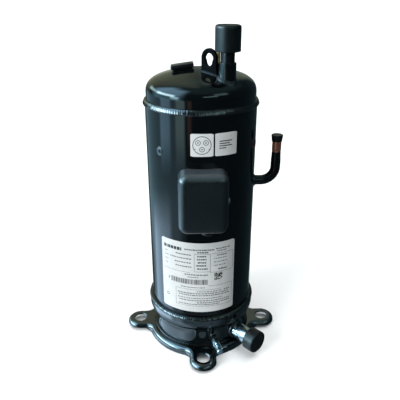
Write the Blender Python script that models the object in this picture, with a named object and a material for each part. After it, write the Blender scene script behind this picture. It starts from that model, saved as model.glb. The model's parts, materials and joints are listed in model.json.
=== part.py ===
"""Hermetic scroll compressor for refrigeration and air conditioning, as an assembly of separate pieces.

Frame: metres, +Z up. The origin is on the shell's axis, on the surface that the base stands on.
The terminal cover faces -Y and the discharge tube leaves towards +X.
Sizes below are in millimetres; MM turns them into metres.
"""

import math

import bmesh
import bpy
from mathutils import Matrix, Vector

MM = 0.001

# ---------------------------------------------------------------- driving dimensions (mm)
SHELL_R, SHELL_WALL = 82.5, 3.0
SHELL_Z0, SHELL_Z1 = 52.5, 400.5
SHELL_IN = SHELL_R - SHELL_WALL
FIT = 0.35  # gap kept between neighbouring solids
SEG = 40  # facets round the shell and everything coaxial with it

LUG_TOP, PLATE_T = 13.0, 3.0
LUG_PCR, LUG_END_R, LUG_HOLE_R = 107.5, 21.5, 10.25  # mounting holes on a 215 mm circle
PLATE_R, PLATE_FILLET, PLATE_BORE = 91.0, 14.0, 79.9
LUG_SKIRT_Z, SKIRT_Z = 4.5, 0.0

CROWN = [(80.6, 417.0), (79.9, 421.6), (78.2, 426.0), (75.0, 430.3), (70.0, 434.2), (64.0, 437.3),
         (54.0, 440.6), (41.0, 443.5), (27.0, 445.8), (13.5, 447.2), (0.0, 447.6)]  # outside of the top cap

SUCTION_X, SUCTION_Y = 34.0, -46.0
SUCTION_R, SUCTION_BORE = 9.525, 8.3  # 3/4 inch tube
DISCHARGE_Z, DISCHARGE_X, BEND_R = 274.0, 116.0, 22.0
COVER_W, COVER_H, COVER_Z, COVER_FRONT, COVER_WALL = 70.0, 89.0, 279.5, 112.0, 2.2
CABLE_X, CABLE_Y = 6.0, -93.6
TERMINAL_Z = 283.0
OIL_PORT_AZ, OIL_PORT_Z = 43.0, 30.0
OIL_VALVE_AZ, OIL_VALVE_Z = 12.5, 33.0
CHARGE_X, CHARGE_Y = 22.0, -10.8
EYE_X, EYE_Y, EYE_TURN = 10.7, -30.9, -42.0
THERMO_X, THERMO_TILT = -26.3, 7.9

ORBIT = 4.4  # crank throw and orbit radius
INV_A, WRAP_T = 2.8, 4.0  # involute base circle radius and wrap thickness
KEY_R = 52.4  # radius of the Oldham keys' middles
WRAP_TURN = 83.5  # angle of the fixed wrap about the axis, degrees


# ---------------------------------------------------------------- helpers
def clear_scene():
    for o in list(bpy.data.objects):
        bpy.data.objects.remove(o)


MATERIALS = {}


def material(name, colour, roughness, metallic):
    if name in MATERIALS:
        return MATERIALS[name]
    m = bpy.data.materials.new(name)
    m.use_nodes = True
    bsdf = m.node_tree.nodes["Principled BSDF"]
    bsdf.inputs["Base Color"].default_value = (*colour, 1.0)
    bsdf.inputs["Roughness"].default_value = roughness
    bsdf.inputs["Metallic"].default_value = metallic
    MATERIALS[name] = m
    return m


PAINT = ("black_paint", (0.010, 0.012, 0.014), 0.18, 0.0)
RUBBER = ("black_rubber", (0.018, 0.019, 0.020), 0.62, 0.0)
COPPER = ("copper", (0.72, 0.30, 0.17), 0.28, 1.0)
BRASS = ("brass", (0.78, 0.62, 0.32), 0.30, 1.0)
PLATED = ("zinc_plate", (0.62, 0.64, 0.66), 0.25, 1.0)
IRON = ("cast_iron", (0.16, 0.16, 0.165), 0.55, 0.8)
STEEL = ("ground_steel", (0.45, 0.46, 0.47), 0.32, 1.0)
ALU = ("cast_aluminium", (0.66, 0.67, 0.68), 0.42, 1.0)
LAMINATION = ("lamination_steel", (0.22, 0.23, 0.25), 0.5, 0.8)
WINDING = ("enamelled_copper", (0.42, 0.15, 0.06), 0.35, 0.5)
BRONZE = ("bearing_bronze", (0.55, 0.38, 0.20), 0.4, 1.0)
PLASTIC = ("black_plastic", (0.02, 0.02, 0.021), 0.5, 0.0)
WHITE_PLASTIC = ("white_plastic", (0.75, 0.74, 0.70), 0.5, 0.0)
LABEL = ("label_stock", (0.86, 0.87, 0.86), 0.4, 0.0)
FELT = ("gasket", (0.05, 0.05, 0.05), 0.9, 0.0)


def finish(bm, name, kind, smooth=True, weld=2e-6):
    """Turns a bmesh in metres into a named object with its material."""
    bmesh.ops.remove_doubles(bm, verts=bm.verts, dist=weld)
    bmesh.ops.recalc_face_normals(bm, faces=bm.faces)
    me = bpy.data.meshes.new(name)
    bm.to_mesh(me)
    bm.free()
    if smooth:
        me.shade_smooth()
        me.set_sharp_from_angle(angle=math.radians(32))
    if kind is not None:
        me.materials.append(material(*kind))
    o = bpy.data.objects.new(name, me)
    bpy.context.scene.collection.objects.link(o)
    return o


def turned(name, profile, kind, seg=SEG, closed=True, matrix=None):
    """Solid of revolution about Z from (radius, z) points. closed=False for a profile whose two ends lie on the axis."""
    bm = bmesh.new()
    pts = [bm.verts.new((r * MM, 0, z * MM)) for r, z in profile]
    edges = [bm.edges.new((pts[i], pts[i + 1])) for i in range(len(pts) - 1)]
    if closed:
        edges.append(bm.edges.new((pts[-1], pts[0])))
    bmesh.ops.spin(bm, geom=pts + edges, cent=(0, 0, 0), axis=(0, 0, 1), angle=2 * math.pi, steps=seg, use_merge=True)
    bmesh.ops.remove_doubles(bm, verts=bm.verts, dist=2e-6)
    bmesh.ops.dissolve_degenerate(bm, dist=1e-7, edges=bm.edges)
    o = finish(bm, name, kind)
    if matrix is not None:
        o.matrix_world = matrix
    return o


def prism(name, outline, z0, z1, kind, matrix=None):
    """Outline of (x, y) points extruded from z0 to z1."""
    bm = bmesh.new()
    face = bm.faces.new([bm.verts.new((x * MM, y * MM, z0 * MM)) for x, y in outline])
    out = bmesh.ops.extrude_face_region(bm, geom=[face])
    moved = [g for g in out["geom"] if isinstance(g, bmesh.types.BMVert)]
    bmesh.ops.translate(bm, vec=(0, 0, (z1 - z0) * MM), verts=moved)
    o = finish(bm, name, kind)
    if matrix is not None:
        o.matrix_world = matrix
    return o


def circle(r, n, cx=0.0, cy=0.0, start=0.0):
    return [(cx + r * math.cos(start + 2 * math.pi * i / n), cy + r * math.sin(start + 2 * math.pi * i / n)) for i in range(n)]


def rounded_rect(w, h, r, n=4, cx=0.0, cy=0.0):
    pts = []
    for sx, sy, a0 in ((1, 1, 0), (-1, 1, 90), (-1, -1, 180), (1, -1, 270)):
        for i in range(n + 1):
            a = math.radians(a0 + 90 * i / n)
            pts.append((cx + sx * (w / 2 - r) + r * math.cos(a), cy + sy * (h / 2 - r) + r * math.sin(a)))
    return pts


def box(cx, cy, hx, hy):
    return [(cx - hx, cy - hy), (cx + hx, cy - hy), (cx + hx, cy + hy), (cx - hx, cy + hy)]


def hexagon(af):
    return circle(af / math.sqrt(3), 6)


def swept_tube(name, path, outer, inner, kind, seg=16):
    """Round tube along a path. outer and inner hold the radii at each path point; inner None makes a solid rod."""
    pts = [Vector(p) * MM for p in path]
    n = len(pts)
    tangents = [((pts[min(i + 1, n - 1)] - pts[max(i - 1, 0)]).normalized()) for i in range(n)]
    side = tangents[0].orthogonal().normalized()
    bm = bmesh.new()
    rings_o, rings_i = [], []
    for i in range(n):
        t = tangents[i]
        side = (side - t * side.dot(t)).normalized()
        other = t.cross(side)
        ring = lambda r: [bm.verts.new(pts[i] + (side * math.cos(2 * math.pi * k / seg) + other * math.sin(2 * math.pi * k / seg)) * r * MM) for k in range(seg)]
        rings_o.append(ring(outer[i]))
        if inner is not None:
            rings_i.append(ring(inner[i]))

    def skin(a, b):
        for k in range(seg):
            bm.faces.new((a[k], a[(k + 1) % seg], b[(k + 1) % seg], b[k]))

    for i in range(n - 1):
        skin(rings_o[i], rings_o[i + 1])
        if inner is not None:
            skin(rings_i[i], rings_i[i + 1])
    if inner is not None:
        skin(rings_o[0], rings_i[0])
        skin(rings_o[-1], rings_i[-1])
    else:
        bm.faces.new(rings_o[0])
        bm.faces.new(list(reversed(rings_o[-1])))
    return finish(bm, name, kind)


def boolean(target, cutters, operation="DIFFERENCE", keep=False):
    """Applies cutters to the target one after another and removes them."""
    cutters = cutters if isinstance(cutters, (list, tuple)) else [cutters]
    for c in cutters:
        c.hide_render = True
        c.display_type = "WIRE"
        m = target.modifiers.new("cut", "BOOLEAN")
        m.solver = "EXACT"
        m.operation = operation
        m.object = c
    bpy.context.view_layer.update()
    graph = bpy.context.evaluated_depsgraph_get()
    me = bpy.data.meshes.new_from_object(target.evaluated_get(graph))
    target.modifiers.clear()
    old = target.data
    target.data = me
    mats = [m for m in old.materials]
    me.materials.clear()
    for m in mats[:1]:
        me.materials.append(m)
    if mats:
        me.polygons.foreach_set("material_index", [0] * len(me.polygons))
    me.shade_smooth()
    me.set_sharp_from_angle(angle=math.radians(32))
    if not keep:
        for c in cutters:
            bpy.data.objects.remove(c)
    return target


def along_y(z=0.0, x=0.0):
    """Turned about Z, then laid along -Y: the profile's z runs out from the axis towards -Y."""
    return Matrix.Translation((x * MM, 0, z * MM)) @ Matrix.Rotation(math.radians(90), 4, "X")


def radial(az, z):
    """Profile z runs outwards from the axis at azimuth az, measured from -Y towards +X."""
    return Matrix.Translation((0, 0, z * MM)) @ Matrix.Rotation(math.radians(az), 4, "Z") @ Matrix.Rotation(math.radians(90), 4, "X")


def placed(x, y, z=0.0, turn=0.0):
    return Matrix.Translation((x * MM, y * MM, z * MM)) @ Matrix.Rotation(math.radians(turn), 4, "Z")


def dome_cutter(name, gap):
    """Everything below the top cap's outside, raised by gap."""
    prof = [(0.0, 380.0), (CROWN[0][0] + gap, 380.0)] + [(r + (gap if i < 4 else 0), z + gap) for i, (r, z) in enumerate(CROWN)]
    return turned(name, prof, None, closed=False)


clear_scene()

# ---------------------------------------------------------------- casing
shell = turned("shell_body", [(SHELL_R, SHELL_Z0), (SHELL_R, SHELL_Z1), (SHELL_IN, SHELL_Z1), (SHELL_IN, SHELL_Z0)], PAINT)
boolean(shell, [
    turned("cut_terminal", [(0, 60), (23.0, 60), (23.0, 100), (0, 100)], None, seg=32, closed=False, matrix=along_y(TERMINAL_Z)),
    turned("cut_discharge", [(0, 60), (8.1, 60), (8.1, 100), (0, 100)], None, seg=20, closed=False, matrix=radial(90, DISCHARGE_Z)),
])

top = turned("top_cap", [(79.1, 386.5), (79.1, 401.0), (80.6, 401.0)] + CROWN
             + [(0.0, 444.2), (42.0, 440.0), (63.0, 433.6), (73.0, 425.6), (76.2, 414.0), (76.2, 386.5)],
             PAINT, closed=True)
# the profile's crown and its underside both reach the axis, so the two closing faces there vanish
boolean(top, [
    prism("cut_suction", circle(12.25, 24, SUCTION_X, SUCTION_Y), 415, 460, None),
    prism("cut_charge", circle(4.35, 16, CHARGE_X, CHARGE_Y), 430, 460, None),
])

bottom = turned("bottom_cap", [(0.0, 2.0), (45.0, 2.3), (62.0, 3.4), (72.5, 6.0), (77.6, 10.0), (79.3, 13.5), (80.4, 20.0), (81.2, 32.0), (82.0, 42.0),
                               (83.8, 49.0), (87.2, 56.0), (87.6, 68.0), (82.9, 68.0), (82.9, 52.0), (78.8, 47.0), (76.8, 21.0),
                               (71.0, 11.0), (52.0, 6.6), (0.0, 5.6)], PAINT, closed=False)
boolean(bottom, [
    turned("cut_oil_port", [(0, 70), (13.35, 70), (13.35, 100), (0, 100)], None, seg=24, closed=False, matrix=radial(OIL_PORT_AZ, OIL_PORT_Z)),
    turned("cut_oil_valve", [(0, 70), (3.55, 70), (3.55, 100), (0, 100)], None, seg=16, closed=False, matrix=radial(OIL_VALVE_AZ, OIL_VALVE_Z)),
])

turned("upper_weld_bead", [(82.9, 397.4), (84.5, 397.6), (85.5, 399.6), (85.4, 402.6), (83.6, 405.6), (81.0, 406.4), (81.0, 401.0), (82.9, 401.0)], PAINT)
turned("lower_weld_bead", [(82.9, 68.4), (87.8, 68.4), (88.3, 70.2), (86.8, 72.4), (84.4, 73.6), (82.9, 73.6)], PAINT)


# ---------------------------------------------------------------- base plate
def plate_outline():
    """One lug pointing to -Y, repeated four times: (point, outward normal, share of the lug) for each sample."""
    c_lat = LUG_END_R + PLATE_FILLET
    c_out = math.sqrt((PLATE_R + PLATE_FILLET) ** 2 - c_lat ** 2)
    a_circle = math.degrees(math.atan2(c_lat, c_out))
    half = []
    for i in range(3):  # main circle, from 45 degrees to the fillet
        a = math.radians(45 + (a_circle - 45) * i / 3)
        half.append((Vector((PLATE_R * math.sin(a), PLATE_R * math.cos(a))), Vector((math.sin(a), math.cos(a)))))
    start = math.atan2(-c_out, -c_lat)
    end = math.pi if start > 0 else -math.pi
    for i in range(4):  # concave fillet
        a = start + (end - start) * i / 3
        n = Vector((math.cos(a), math.sin(a)))
        half.append((Vector((c_lat, c_out)) + n * PLATE_FILLET, -n))
    for i in range(6):  # round end of the lug
        a = math.radians(90.0 * i / 5)
        n = Vector((math.cos(a), math.sin(a)))
        half.append((Vector((0, LUG_PCR)) + n * LUG_END_R, n))
    other = [(Vector((-p.x, p.y)), Vector((-n.x, n.y))) for p, n in reversed(half[1:-1])]
    lug = half + other
    out = []
    for k in range(4):
        turn = Matrix.Rotation(math.radians(90 * k), 2)
        out += [(turn @ p, turn @ n) for p, n in lug]
    return out


def build_plate():
    bm = bmesh.new()
    columns = []
    for p, n in plate_outline():
        reach = p.length
        share = min(1.0, max(0.0, (reach - 92.0) / 9.0))
        share = share * share * (3 - 2 * share)
        zb = SKIRT_Z + (LUG_SKIRT_Z - SKIRT_Z) * share
        col = [(0.0, zb), (0.0, LUG_TOP - 3.0), (0.9, LUG_TOP - 0.9), (3.0, LUG_TOP)]
        pts = [(p.x - n.x * d, p.y - n.y * d, z) for d, z in col]
        u = p.normalized()
        # the plate's bore is left as cut, with the same facets as the cap inside it
        pts += [(u.x * PLATE_BORE, u.y * PLATE_BORE, LUG_TOP), (u.x * PLATE_BORE, u.y * PLATE_BORE, LUG_TOP - PLATE_T)]
        pts += [(p.x - n.x * 3.0, p.y - n.y * 3.0, z) for z in (LUG_TOP - PLATE_T, zb)]
        columns.append([bm.verts.new((x * MM, y * MM, z * MM)) for x, y, z in pts])
    n = len(columns)
    for i in range(n):
        a, b = columns[i], columns[(i + 1) % n]
        for k in range(len(a)):
            q = (k + 1) % len(a)
            bm.faces.new((a[k], b[k], b[q], a[q]))
    o = finish(bm, "base_plate", PAINT)
    holes = []
    for k in range(4):
        a = math.radians(90 * k)
        holes.append(prism("cut_lug_%d" % k, circle(LUG_HOLE_R, 24, LUG_PCR * math.cos(a), LUG_PCR * math.sin(a), math.pi / 24), -5, 20, None))
    return boolean(o, holes)


build_plate()

# ---------------------------------------------------------------- top fittings
EYE_TOP, EYE_HALF = 478.0, 13.4


def eye_outline():
    """Lifting eye in its own plane: u along the plate, v up; an upright loop on a slightly wider foot."""
    c = EYE_TOP - EYE_HALF
    pts = [(14.8, 436.0), (14.8, 446.0), (13.4, 450.5)]
    for i in range(13):
        a = math.pi * i / 12
        pts.append((EYE_HALF * math.cos(a), c + EYE_HALF * math.sin(a)))
    pts += [(-13.4, 450.5), (-14.8, 446.0), (-14.8, 436.0)]
    return pts


def upright(x, y, turn):
    """A prism made in (x, y) with its thickness along z, stood up so that y becomes up."""
    return Matrix.Translation((x * MM, y * MM, 0)) @ Matrix.Rotation(math.radians(turn), 4, "Z") @ Matrix.Rotation(math.radians(90), 4, "X")


eye = prism("lifting_eye", eye_outline(), -2.3, 2.3, PAINT, matrix=upright(EYE_X, EYE_Y, EYE_TURN))
slot = [(7.3 * math.cos(math.pi * i / 8), 464.3 + 7.3 * math.sin(math.pi * i / 8)) for i in range(9)]
slot += [(7.3 * math.cos(math.pi * i / 8), 460.3 + 7.3 * math.sin(math.pi * i / 8)) for i in range(8, 17)]
boolean(eye, [prism("cut_eye", slot, -6, 6, None, matrix=upright(EYE_X, EYE_Y, EYE_TURN)), dome_cutter("cut_eye_foot", 0.4)])

turned("suction_boss", [(11.9, 434.0), (11.9, 460.3), (11.2, 461.3), (9.9, 461.3), (9.9, 434.0)], PAINT, seg=24, matrix=placed(SUCTION_X, SUCTION_Y))
turned("suction_tube", [(SUCTION_R, 393.4), (SUCTION_R, 500.0), (SUCTION_BORE, 500.0), (SUCTION_BORE, 393.4)], COPPER, seg=24, matrix=placed(SUCTION_X, SUCTION_Y))
turned("suction_plug", [(9.9, 475.5), (16.6, 475.5), (17.3, 476.4), (17.3, 506.4), (16.5, 508.4), (14.6, 509.0), (0, 509.0), (0, 502.4), (9.9, 502.4)],
       RUBBER, seg=28, closed=True, matrix=placed(SUCTION_X, SUCTION_Y))

turned("charge_port", [(1.6, 436.0), (4.0, 436.0), (4.0, 447.0), (6.0, 447.0), (6.0, 454.6), (5.4, 455.2), (3.8, 455.2), (3.8, 463.0), (1.6, 463.0)], PAINT, seg=16,
       matrix=placed(CHARGE_X, CHARGE_Y))
turned("charge_port_cap", [(4.15, 455.6), (4.75, 455.6), (4.75, 470.2), (4.1, 471.0), (0, 471.0), (0, 464.0), (4.15, 464.0)], BRASS, seg=16, matrix=placed(CHARGE_X, CHARGE_Y))

THERMO = Matrix.Translation((THERMO_X * MM, 0, 445.9 * MM)) @ Matrix.Rotation(math.radians(-THERMO_TILT), 4, "Y")
bracket = prism("thermostat_bracket", rounded_rect(29.0, 17.0, 2.0, 2), -3.0, 1.4, PAINT, matrix=THERMO)
boolean(bracket, dome_cutter("cut_bracket", 0.4))
cover_t = prism("thermostat_cover", rounded_rect(33.0, 22.0, 2.5, 3), 1.75, 7.4, RUBBER, matrix=THERMO)


# ---------------------------------------------------------------- discharge line
def discharge_path():
    pts = [(74.0, DISCHARGE_Z)]
    cx, cz = DISCHARGE_X - BEND_R, DISCHARGE_Z + BEND_R
    for i in range(8):
        a = math.radians(-90 + 90 * i / 7)
        pts.append((cx + BEND_R * math.cos(a), cz + BEND_R * math.sin(a)))
    pts += [(DISCHARGE_X, 310.0), (DISCHARGE_X, 313.5), (DISCHARGE_X, 320.6)]
    return [(x, 0.0, z) for x, z in pts]


path = discharge_path()
swept_tube("discharge_sleeve", path, [7.6] * (len(path) - 2) + [7.1, 7.05], [6.7] * len(path), PAINT, seg=16)
turned("discharge_tube", [(5.5, 300.0), (6.35, 300.0), (6.35, 320.5), (7.15, 322.5), (7.15, 341.6), (6.45, 341.6), (6.45, 323.5), (5.5, 321.5)], COPPER, seg=16,
       matrix=placed(DISCHARGE_X, 0))
turned("discharge_plug", [(7.5, 337.6), (8.0, 337.6), (8.9, 346.0), (8.6, 347.6), (0, 347.6), (0, 343.9), (7.5, 343.9)], RUBBER, seg=16, matrix=placed(DISCHARGE_X, 0))


# ---------------------------------------------------------------- terminal box
def box_y(name, w, h, r, y_in, y_out, kind, z=COVER_Z, n=4):
    """Rounded rectangle in X and Z, extruded along -Y from y_in to y_out."""
    return prism(name, rounded_rect(w, h, r, n), y_in, y_out, kind, matrix=along_y(z))


def shell_cutter(name, r):
    return turned(name, [(0, 150.0), (r, 150.0), (r, 395.0), (0, 395.0)], None, closed=False)


fence = box_y("terminal_fence", 58.0, 74.0, 6.0, 60.0, 96.0, PAINT)
boolean(fence, [box_y("cut_fence", 53.0, 69.0, 3.5, 50.0, 120.0, None), shell_cutter("cut_fence_back", SHELL_R + FIT)])
side = Matrix.Translation((0, -90.0 * MM, COVER_Z * MM)) @ Matrix.Rotation(math.radians(90), 4, "Y")


def build_cover():
    """Pressed cover with a generous radius round its front, open to the shell."""
    loops = [(-4.0, 60.0), (-4.0, 60.0)]
    bm = bmesh.new()

    def ring(inset, depth):
        r = max(13.0 - inset, 1.0)
        return [bm.verts.new((x * MM, -depth * MM, (COVER_Z + z) * MM)) for x, z in rounded_rect(COVER_W - 2 * inset, COVER_H - 2 * inset, r, 4)]

    edge = 10.0
    outer = [ring(0.0, 62.0)] + [ring(edge * (1 - math.cos(math.radians(a))), COVER_FRONT - edge + edge * math.sin(math.radians(a))) for a in (0, 22.5, 45, 67.5, 90)]
    w = COVER_WALL
    inner = [ring(w, 62.0)] + [ring(w + (edge - w) * (1 - math.cos(math.radians(a))), COVER_FRONT - edge + (edge - w) * math.sin(math.radians(a))) for a in (0, 30, 60, 90)]

    def skin(a, b):
        n = len(a)
        for k in range(n):
            bm.faces.new((a[k], a[(k + 1) % n], b[(k + 1) % n], b[k]))

    for a, b in zip(outer, outer[1:]):
        skin(a, b)
    for a, b in zip(inner, inner[1:]):
        skin(a, b)
    skin(outer[0], inner[0])
    bm.faces.new(outer[-1])
    bm.faces.new(inner[-1])
    o = finish(bm, "terminal_cover", PAINT)
    cable = prism("cut_cable", circle(7.7, 20, CABLE_X, CABLE_Y), 225, 245, None)
    screw = turned("cut_cover_screw", [(0, 25), (2.4, 25), (2.4, 45), (0, 45)], None, seg=12, closed=False, matrix=side)
    return boolean(o, [shell_cutter("cut_cover_back", 84.6), cable, screw])


build_cover()
gasket = box_y("terminal_gasket", COVER_W, COVER_H, 13.0, 60.0, 84.2, FELT)
keep = turned("keep_gasket", [(82.86, 150.0), (84.2, 150.0), (84.2, 395.0), (82.86, 395.0)], None)
boolean(gasket, [box_y("cut_gasket", 59.0, 75.0, 6.5, 50.0, 120.0, None)])
boolean(gasket, [keep], operation="INTERSECT")
boolean(gasket, [prism("keep_gasket_front", [(-60, -100), (60, -100), (60, -20), (-60, -20)], 200, 360, None)], operation="INTERSECT")

turned("cable_grommet", [(4.8, 229.4), (8.2, 229.4), (9.1, 230.6), (9.1, 234.6), (7.3, 234.6), (7.3, 237.6), (9.1, 237.6), (8.6, 239.8), (4.8, 239.8)],
       RUBBER, seg=20, matrix=placed(CABLE_X, CABLE_Y))
# the screw is threaded in the cover and its tip bears on the side of the fence
turned("cover_screw", [(0, 29.3), (2.0, 29.3), (2.0, 35.4), (4.6, 35.4), (4.6, 36.6), (3.4, 38.2), (0, 38.4)], PLATED, seg=12, closed=False, matrix=side)

PINS = [(0.0, 9.0), (-7.8, -4.5), (7.8, -4.5)]
body = turned("terminal_body", [(0, 76.5), (19.5, 76.5), (22.6, 73.0), (22.6, 85.5), (19.0, 85.5), (17.0, 80.0), (0, 80.0)], PLATED, seg=32, closed=False, matrix=along_y(TERMINAL_Z))
boolean(body, [turned("cut_pin_%d" % i, [(0, 70), (3.1, 70), (3.1, 90), (0, 90)], None, seg=14, closed=False, matrix=along_y(TERMINAL_Z + z, x)) for i, (x, z) in enumerate(PINS)])
for i, (x, z) in enumerate(PINS):
    turned("terminal_pin_%d" % (i + 1), [(0, 64.0), (1.6, 64.0), (1.6, 75.6), (2.7, 76.0), (2.7, 80.8), (1.6, 81.2), (1.6, 92.0), (3.2, 92.4), (3.2, 97.0), (0, 97.0)],
           COPPER, seg=12, closed=False, matrix=along_y(TERMINAL_Z + z, x))

# ---------------------------------------------------------------- oil fittings
turned("oil_port_stub", [(10.0, 77.5), (13.0, 77.5), (13.0, 122.0), (10.0, 122.0)], PAINT, seg=24, matrix=radial(OIL_PORT_AZ, OIL_PORT_Z))
turned("oil_port_cap", [(13.4, 111.0), (17.4, 111.0), (18.0, 112.0), (18.0, 128.4), (16.6, 130.0), (0, 130.0), (0, 124.4), (13.4, 124.4)], RUBBER, seg=24,
       matrix=radial(OIL_PORT_AZ, OIL_PORT_Z))
turned("oil_valve_tube", [(2.2, 75.0), (3.175, 75.0), (3.175, 98.0), (2.2, 98.0)], COPPER, seg=12, matrix=radial(OIL_VALVE_AZ, OIL_VALVE_Z))
valve = prism("oil_valve_body", hexagon(11.0), 92.0, 107.0, PLATED, matrix=radial(OIL_VALVE_AZ, OIL_VALVE_Z))
boolean(valve, [turned("join_thread", [(0, 104.0), (3.6, 104.0), (3.6, 116.0), (0, 116.0)], None, seg=14, closed=False, matrix=radial(OIL_VALVE_AZ, OIL_VALVE_Z))], operation="UNION")
boolean(valve, [turned("cut_valve_bore", [(0, 90.0), (3.5, 90.0), (3.5, 98.4), (1.6, 98.4), (1.6, 118.0), (0, 118.0)], None, seg=12, closed=False, matrix=radial(OIL_VALVE_AZ, OIL_VALVE_Z))])
turned("oil_valve_cap", [(3.95, 108.0), (5.0, 108.0), (5.0, 121.0), (4.2, 122.0), (0, 122.0), (0, 116.5), (3.95, 116.5)], PLATED, seg=14, matrix=radial(OIL_VALVE_AZ, OIL_VALVE_Z))


# ---------------------------------------------------------------- labels
def label(name, az0, az1, z0, z1):
    bm = bmesh.new()
    n = max(4, int(round(abs(az1 - az0) / 5.0)))
    cols = []
    for i in range(n + 1):
        a = math.radians(az0 + (az1 - az0) * i / n)
        cols.append([bm.verts.new((r * MM * math.sin(a), -r * MM * math.cos(a), z * MM)) for r, z in ((82.86, z0), (83.16, z0), (83.16, z1), (82.86, z1))])
    for a, b in zip(cols, cols[1:]):
        for k in range(4):
            bm.faces.new((a[k], b[k], b[(k + 1) % 4], a[(k + 1) % 4]))
    bm.faces.new(cols[0])
    bm.faces.new(cols[-1])
    return finish(bm, name, LABEL)


label("name_plate", -48.0, 35.7, 83.6, 206.9)
label("wiring_sticker", -11.9, 9.9, 341.9, 374.0)
label("approval_sticker", 11.5, 34.4, 341.9, 374.0)

# ---------------------------------------------------------------- motor
ROTOR_Z0, ROTOR_Z1 = 130.0, 230.0


def stator_slots():
    pts = []
    for k in range(24):
        a0 = 2 * math.pi * k / 24
        for da, r in ((-0.095, 40.9), (-0.03, 40.9), (-0.075, 45.0), (-0.085, 58.0), (0.085, 58.0), (0.075, 45.0), (0.03, 40.9), (0.095, 40.9)):
            pts.append((r * math.cos(a0 + da), r * math.sin(a0 + da)))
    return pts


stator = turned("stator_core", [(0, ROTOR_Z0), (78.9, ROTOR_Z0), (78.9, ROTOR_Z1), (0, ROTOR_Z1)], LAMINATION, closed=False)
cuts = [prism("cut_slots", stator_slots(), ROTOR_Z0 - 5, ROTOR_Z1 + 5, None)]
for k in range(4):
    a = math.radians(45 + 90 * k)
    cuts.append(prism("cut_flat_%d" % k, [(p[0] * math.cos(a) - p[1] * math.sin(a), p[0] * math.sin(a) + p[1] * math.cos(a)) for p in ((76.2, -40), (90, -40), (90, 40), (76.2, 40))],
                      ROTOR_Z0 - 5, ROTOR_Z1 + 5, None))
boolean(stator, cuts)
turned("upper_winding", [(46.0, 230.4), (70.0, 230.4), (72.5, 238.0), (70.0, 248.0), (63.0, 252.0), (50.0, 250.0)], WINDING, seg=24)
turned("lower_winding", [(46.0, 129.6), (50.0, 110.0), (63.0, 108.0), (70.0, 112.0), (72.5, 122.0), (70.0, 129.6)], WINDING, seg=24)
turned("rotor_core", [(14.0, ROTOR_Z0), (40.0, ROTOR_Z0), (40.0, ROTOR_Z1), (14.0, ROTOR_Z1)], LAMINATION, seg=32)
turned("upper_end_ring", [(27.0, 230.4), (39.5, 230.4), (39.0, 240.0), (27.5, 240.0)], ALU, seg=32)
turned("lower_end_ring", [(27.0, 129.6), (27.5, 120.0), (39.0, 120.0), (39.5, 129.6)], ALU, seg=32)


def half_ring(name, r0, r1, z0, z1, mid, kind, spread=170.0, n=12):
    pts = []
    for i in range(n + 1):
        a = math.radians(mid - spread / 2 + spread * i / n)
        pts.append((r1 * math.cos(a), r1 * math.sin(a)))
    for i in range(n, -1, -1):
        a = math.radians(mid - spread / 2 + spread * i / n)
        pts.append((r0 * math.cos(a), r0 * math.sin(a)))
    return prism(name, pts, z0, z1, kind)


half_ring("upper_counterweight", 15.4, 38.0, 256.0, 278.0, 270.0, IRON)
half_ring("lower_counterweight", 26.5, 38.5, 108.0, 119.6, 90.0, BRONZE)

# ---------------------------------------------------------------- shaft, bearings, frames
shaft = turned("crankshaft", [(0, 61.0), (9.5, 61.0), (9.5, 96.0), (13.6, 98.0), (13.6, 286.0), (15.0, 288.0), (15.0, 333.2), (0, 333.2)], STEEL, seg=32, closed=False)
boolean(shaft, [turned("join_pin", [(0, 330.0), (10.2, 330.0), (10.2, 348.6), (0, 348.6)], None, seg=28, closed=False, matrix=placed(0, ORBIT))], operation="UNION")
boolean(shaft, [prism("cut_oil_way", circle(2.2, 10), 50.0, 340.0, None), prism("cut_oil_way_top", circle(2.2, 10, 0, ORBIT), 325.0, 360.0, None)])
turned("oil_pickup", [(2.6, 14.0), (4.6, 14.0), (8.6, 34.0), (8.6, 60.6), (2.6, 60.6)], STEEL, seg=20)
turned("main_bearing", [(15.45, 303.0), (17.4, 303.0), (17.4, 328.0), (15.45, 328.0)], BRONZE, seg=40)
turned("lower_bearing", [(9.9, 67.0), (12.0, 67.0), (12.0, 91.0), (9.9, 91.0)], BRONZE, seg=32)
low = turned("lower_frame", [(12.35, 66.0), (19.0, 66.0), (21.0, 76.0), (79.1, 76.0), (79.1, 83.0), (21.0, 83.0), (19.0, 92.0), (12.35, 92.0)], IRON, seg=24)
boolean(low, [prism("cut_low_%d" % k, circle(17.0, 16, 50 * math.cos(math.radians(45 + 90 * k)), 50 * math.sin(math.radians(45 + 90 * k))), 60, 100, None) for k in range(4)])

frame = turned("main_frame", [(17.75, 302.0), (24.0, 302.0), (26.0, 318.0), (40.0, 326.0), (79.1, 330.0), (79.1, 352.0), (66.6, 352.0), (66.6, 345.0), (43.5, 345.0), (43.5, 350.2),
                              (26.5, 350.2), (26.5, 333.8), (17.75, 333.8)], IRON, seg=32)
cuts = []
for sx in (-1, 1):  # Oldham keyways, along X
    cuts.append(prism("cut_keyway_%d" % sx, box(sx * KEY_R, 0, 8.4, 3.4), 340.2, 347.0, None))
for k in range(4):  # gas passages round the rim
    a = math.radians(60 + 90 * k)
    cuts.append(prism("cut_gas_%d" % k, circle(6.5, 14, 79 * math.cos(a), 79 * math.sin(a)), 320, 360, None))
BOLTS = [30.0, 150.0, 270.0]
for i, az in enumerate(BOLTS):
    a = math.radians(az)
    cuts.append(prism("cut_bolt_%d" % i, circle(3.4, 12, 70.6 * math.cos(a), 70.6 * math.sin(a)), 336.0, 360, None))
boolean(frame, cuts)


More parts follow.
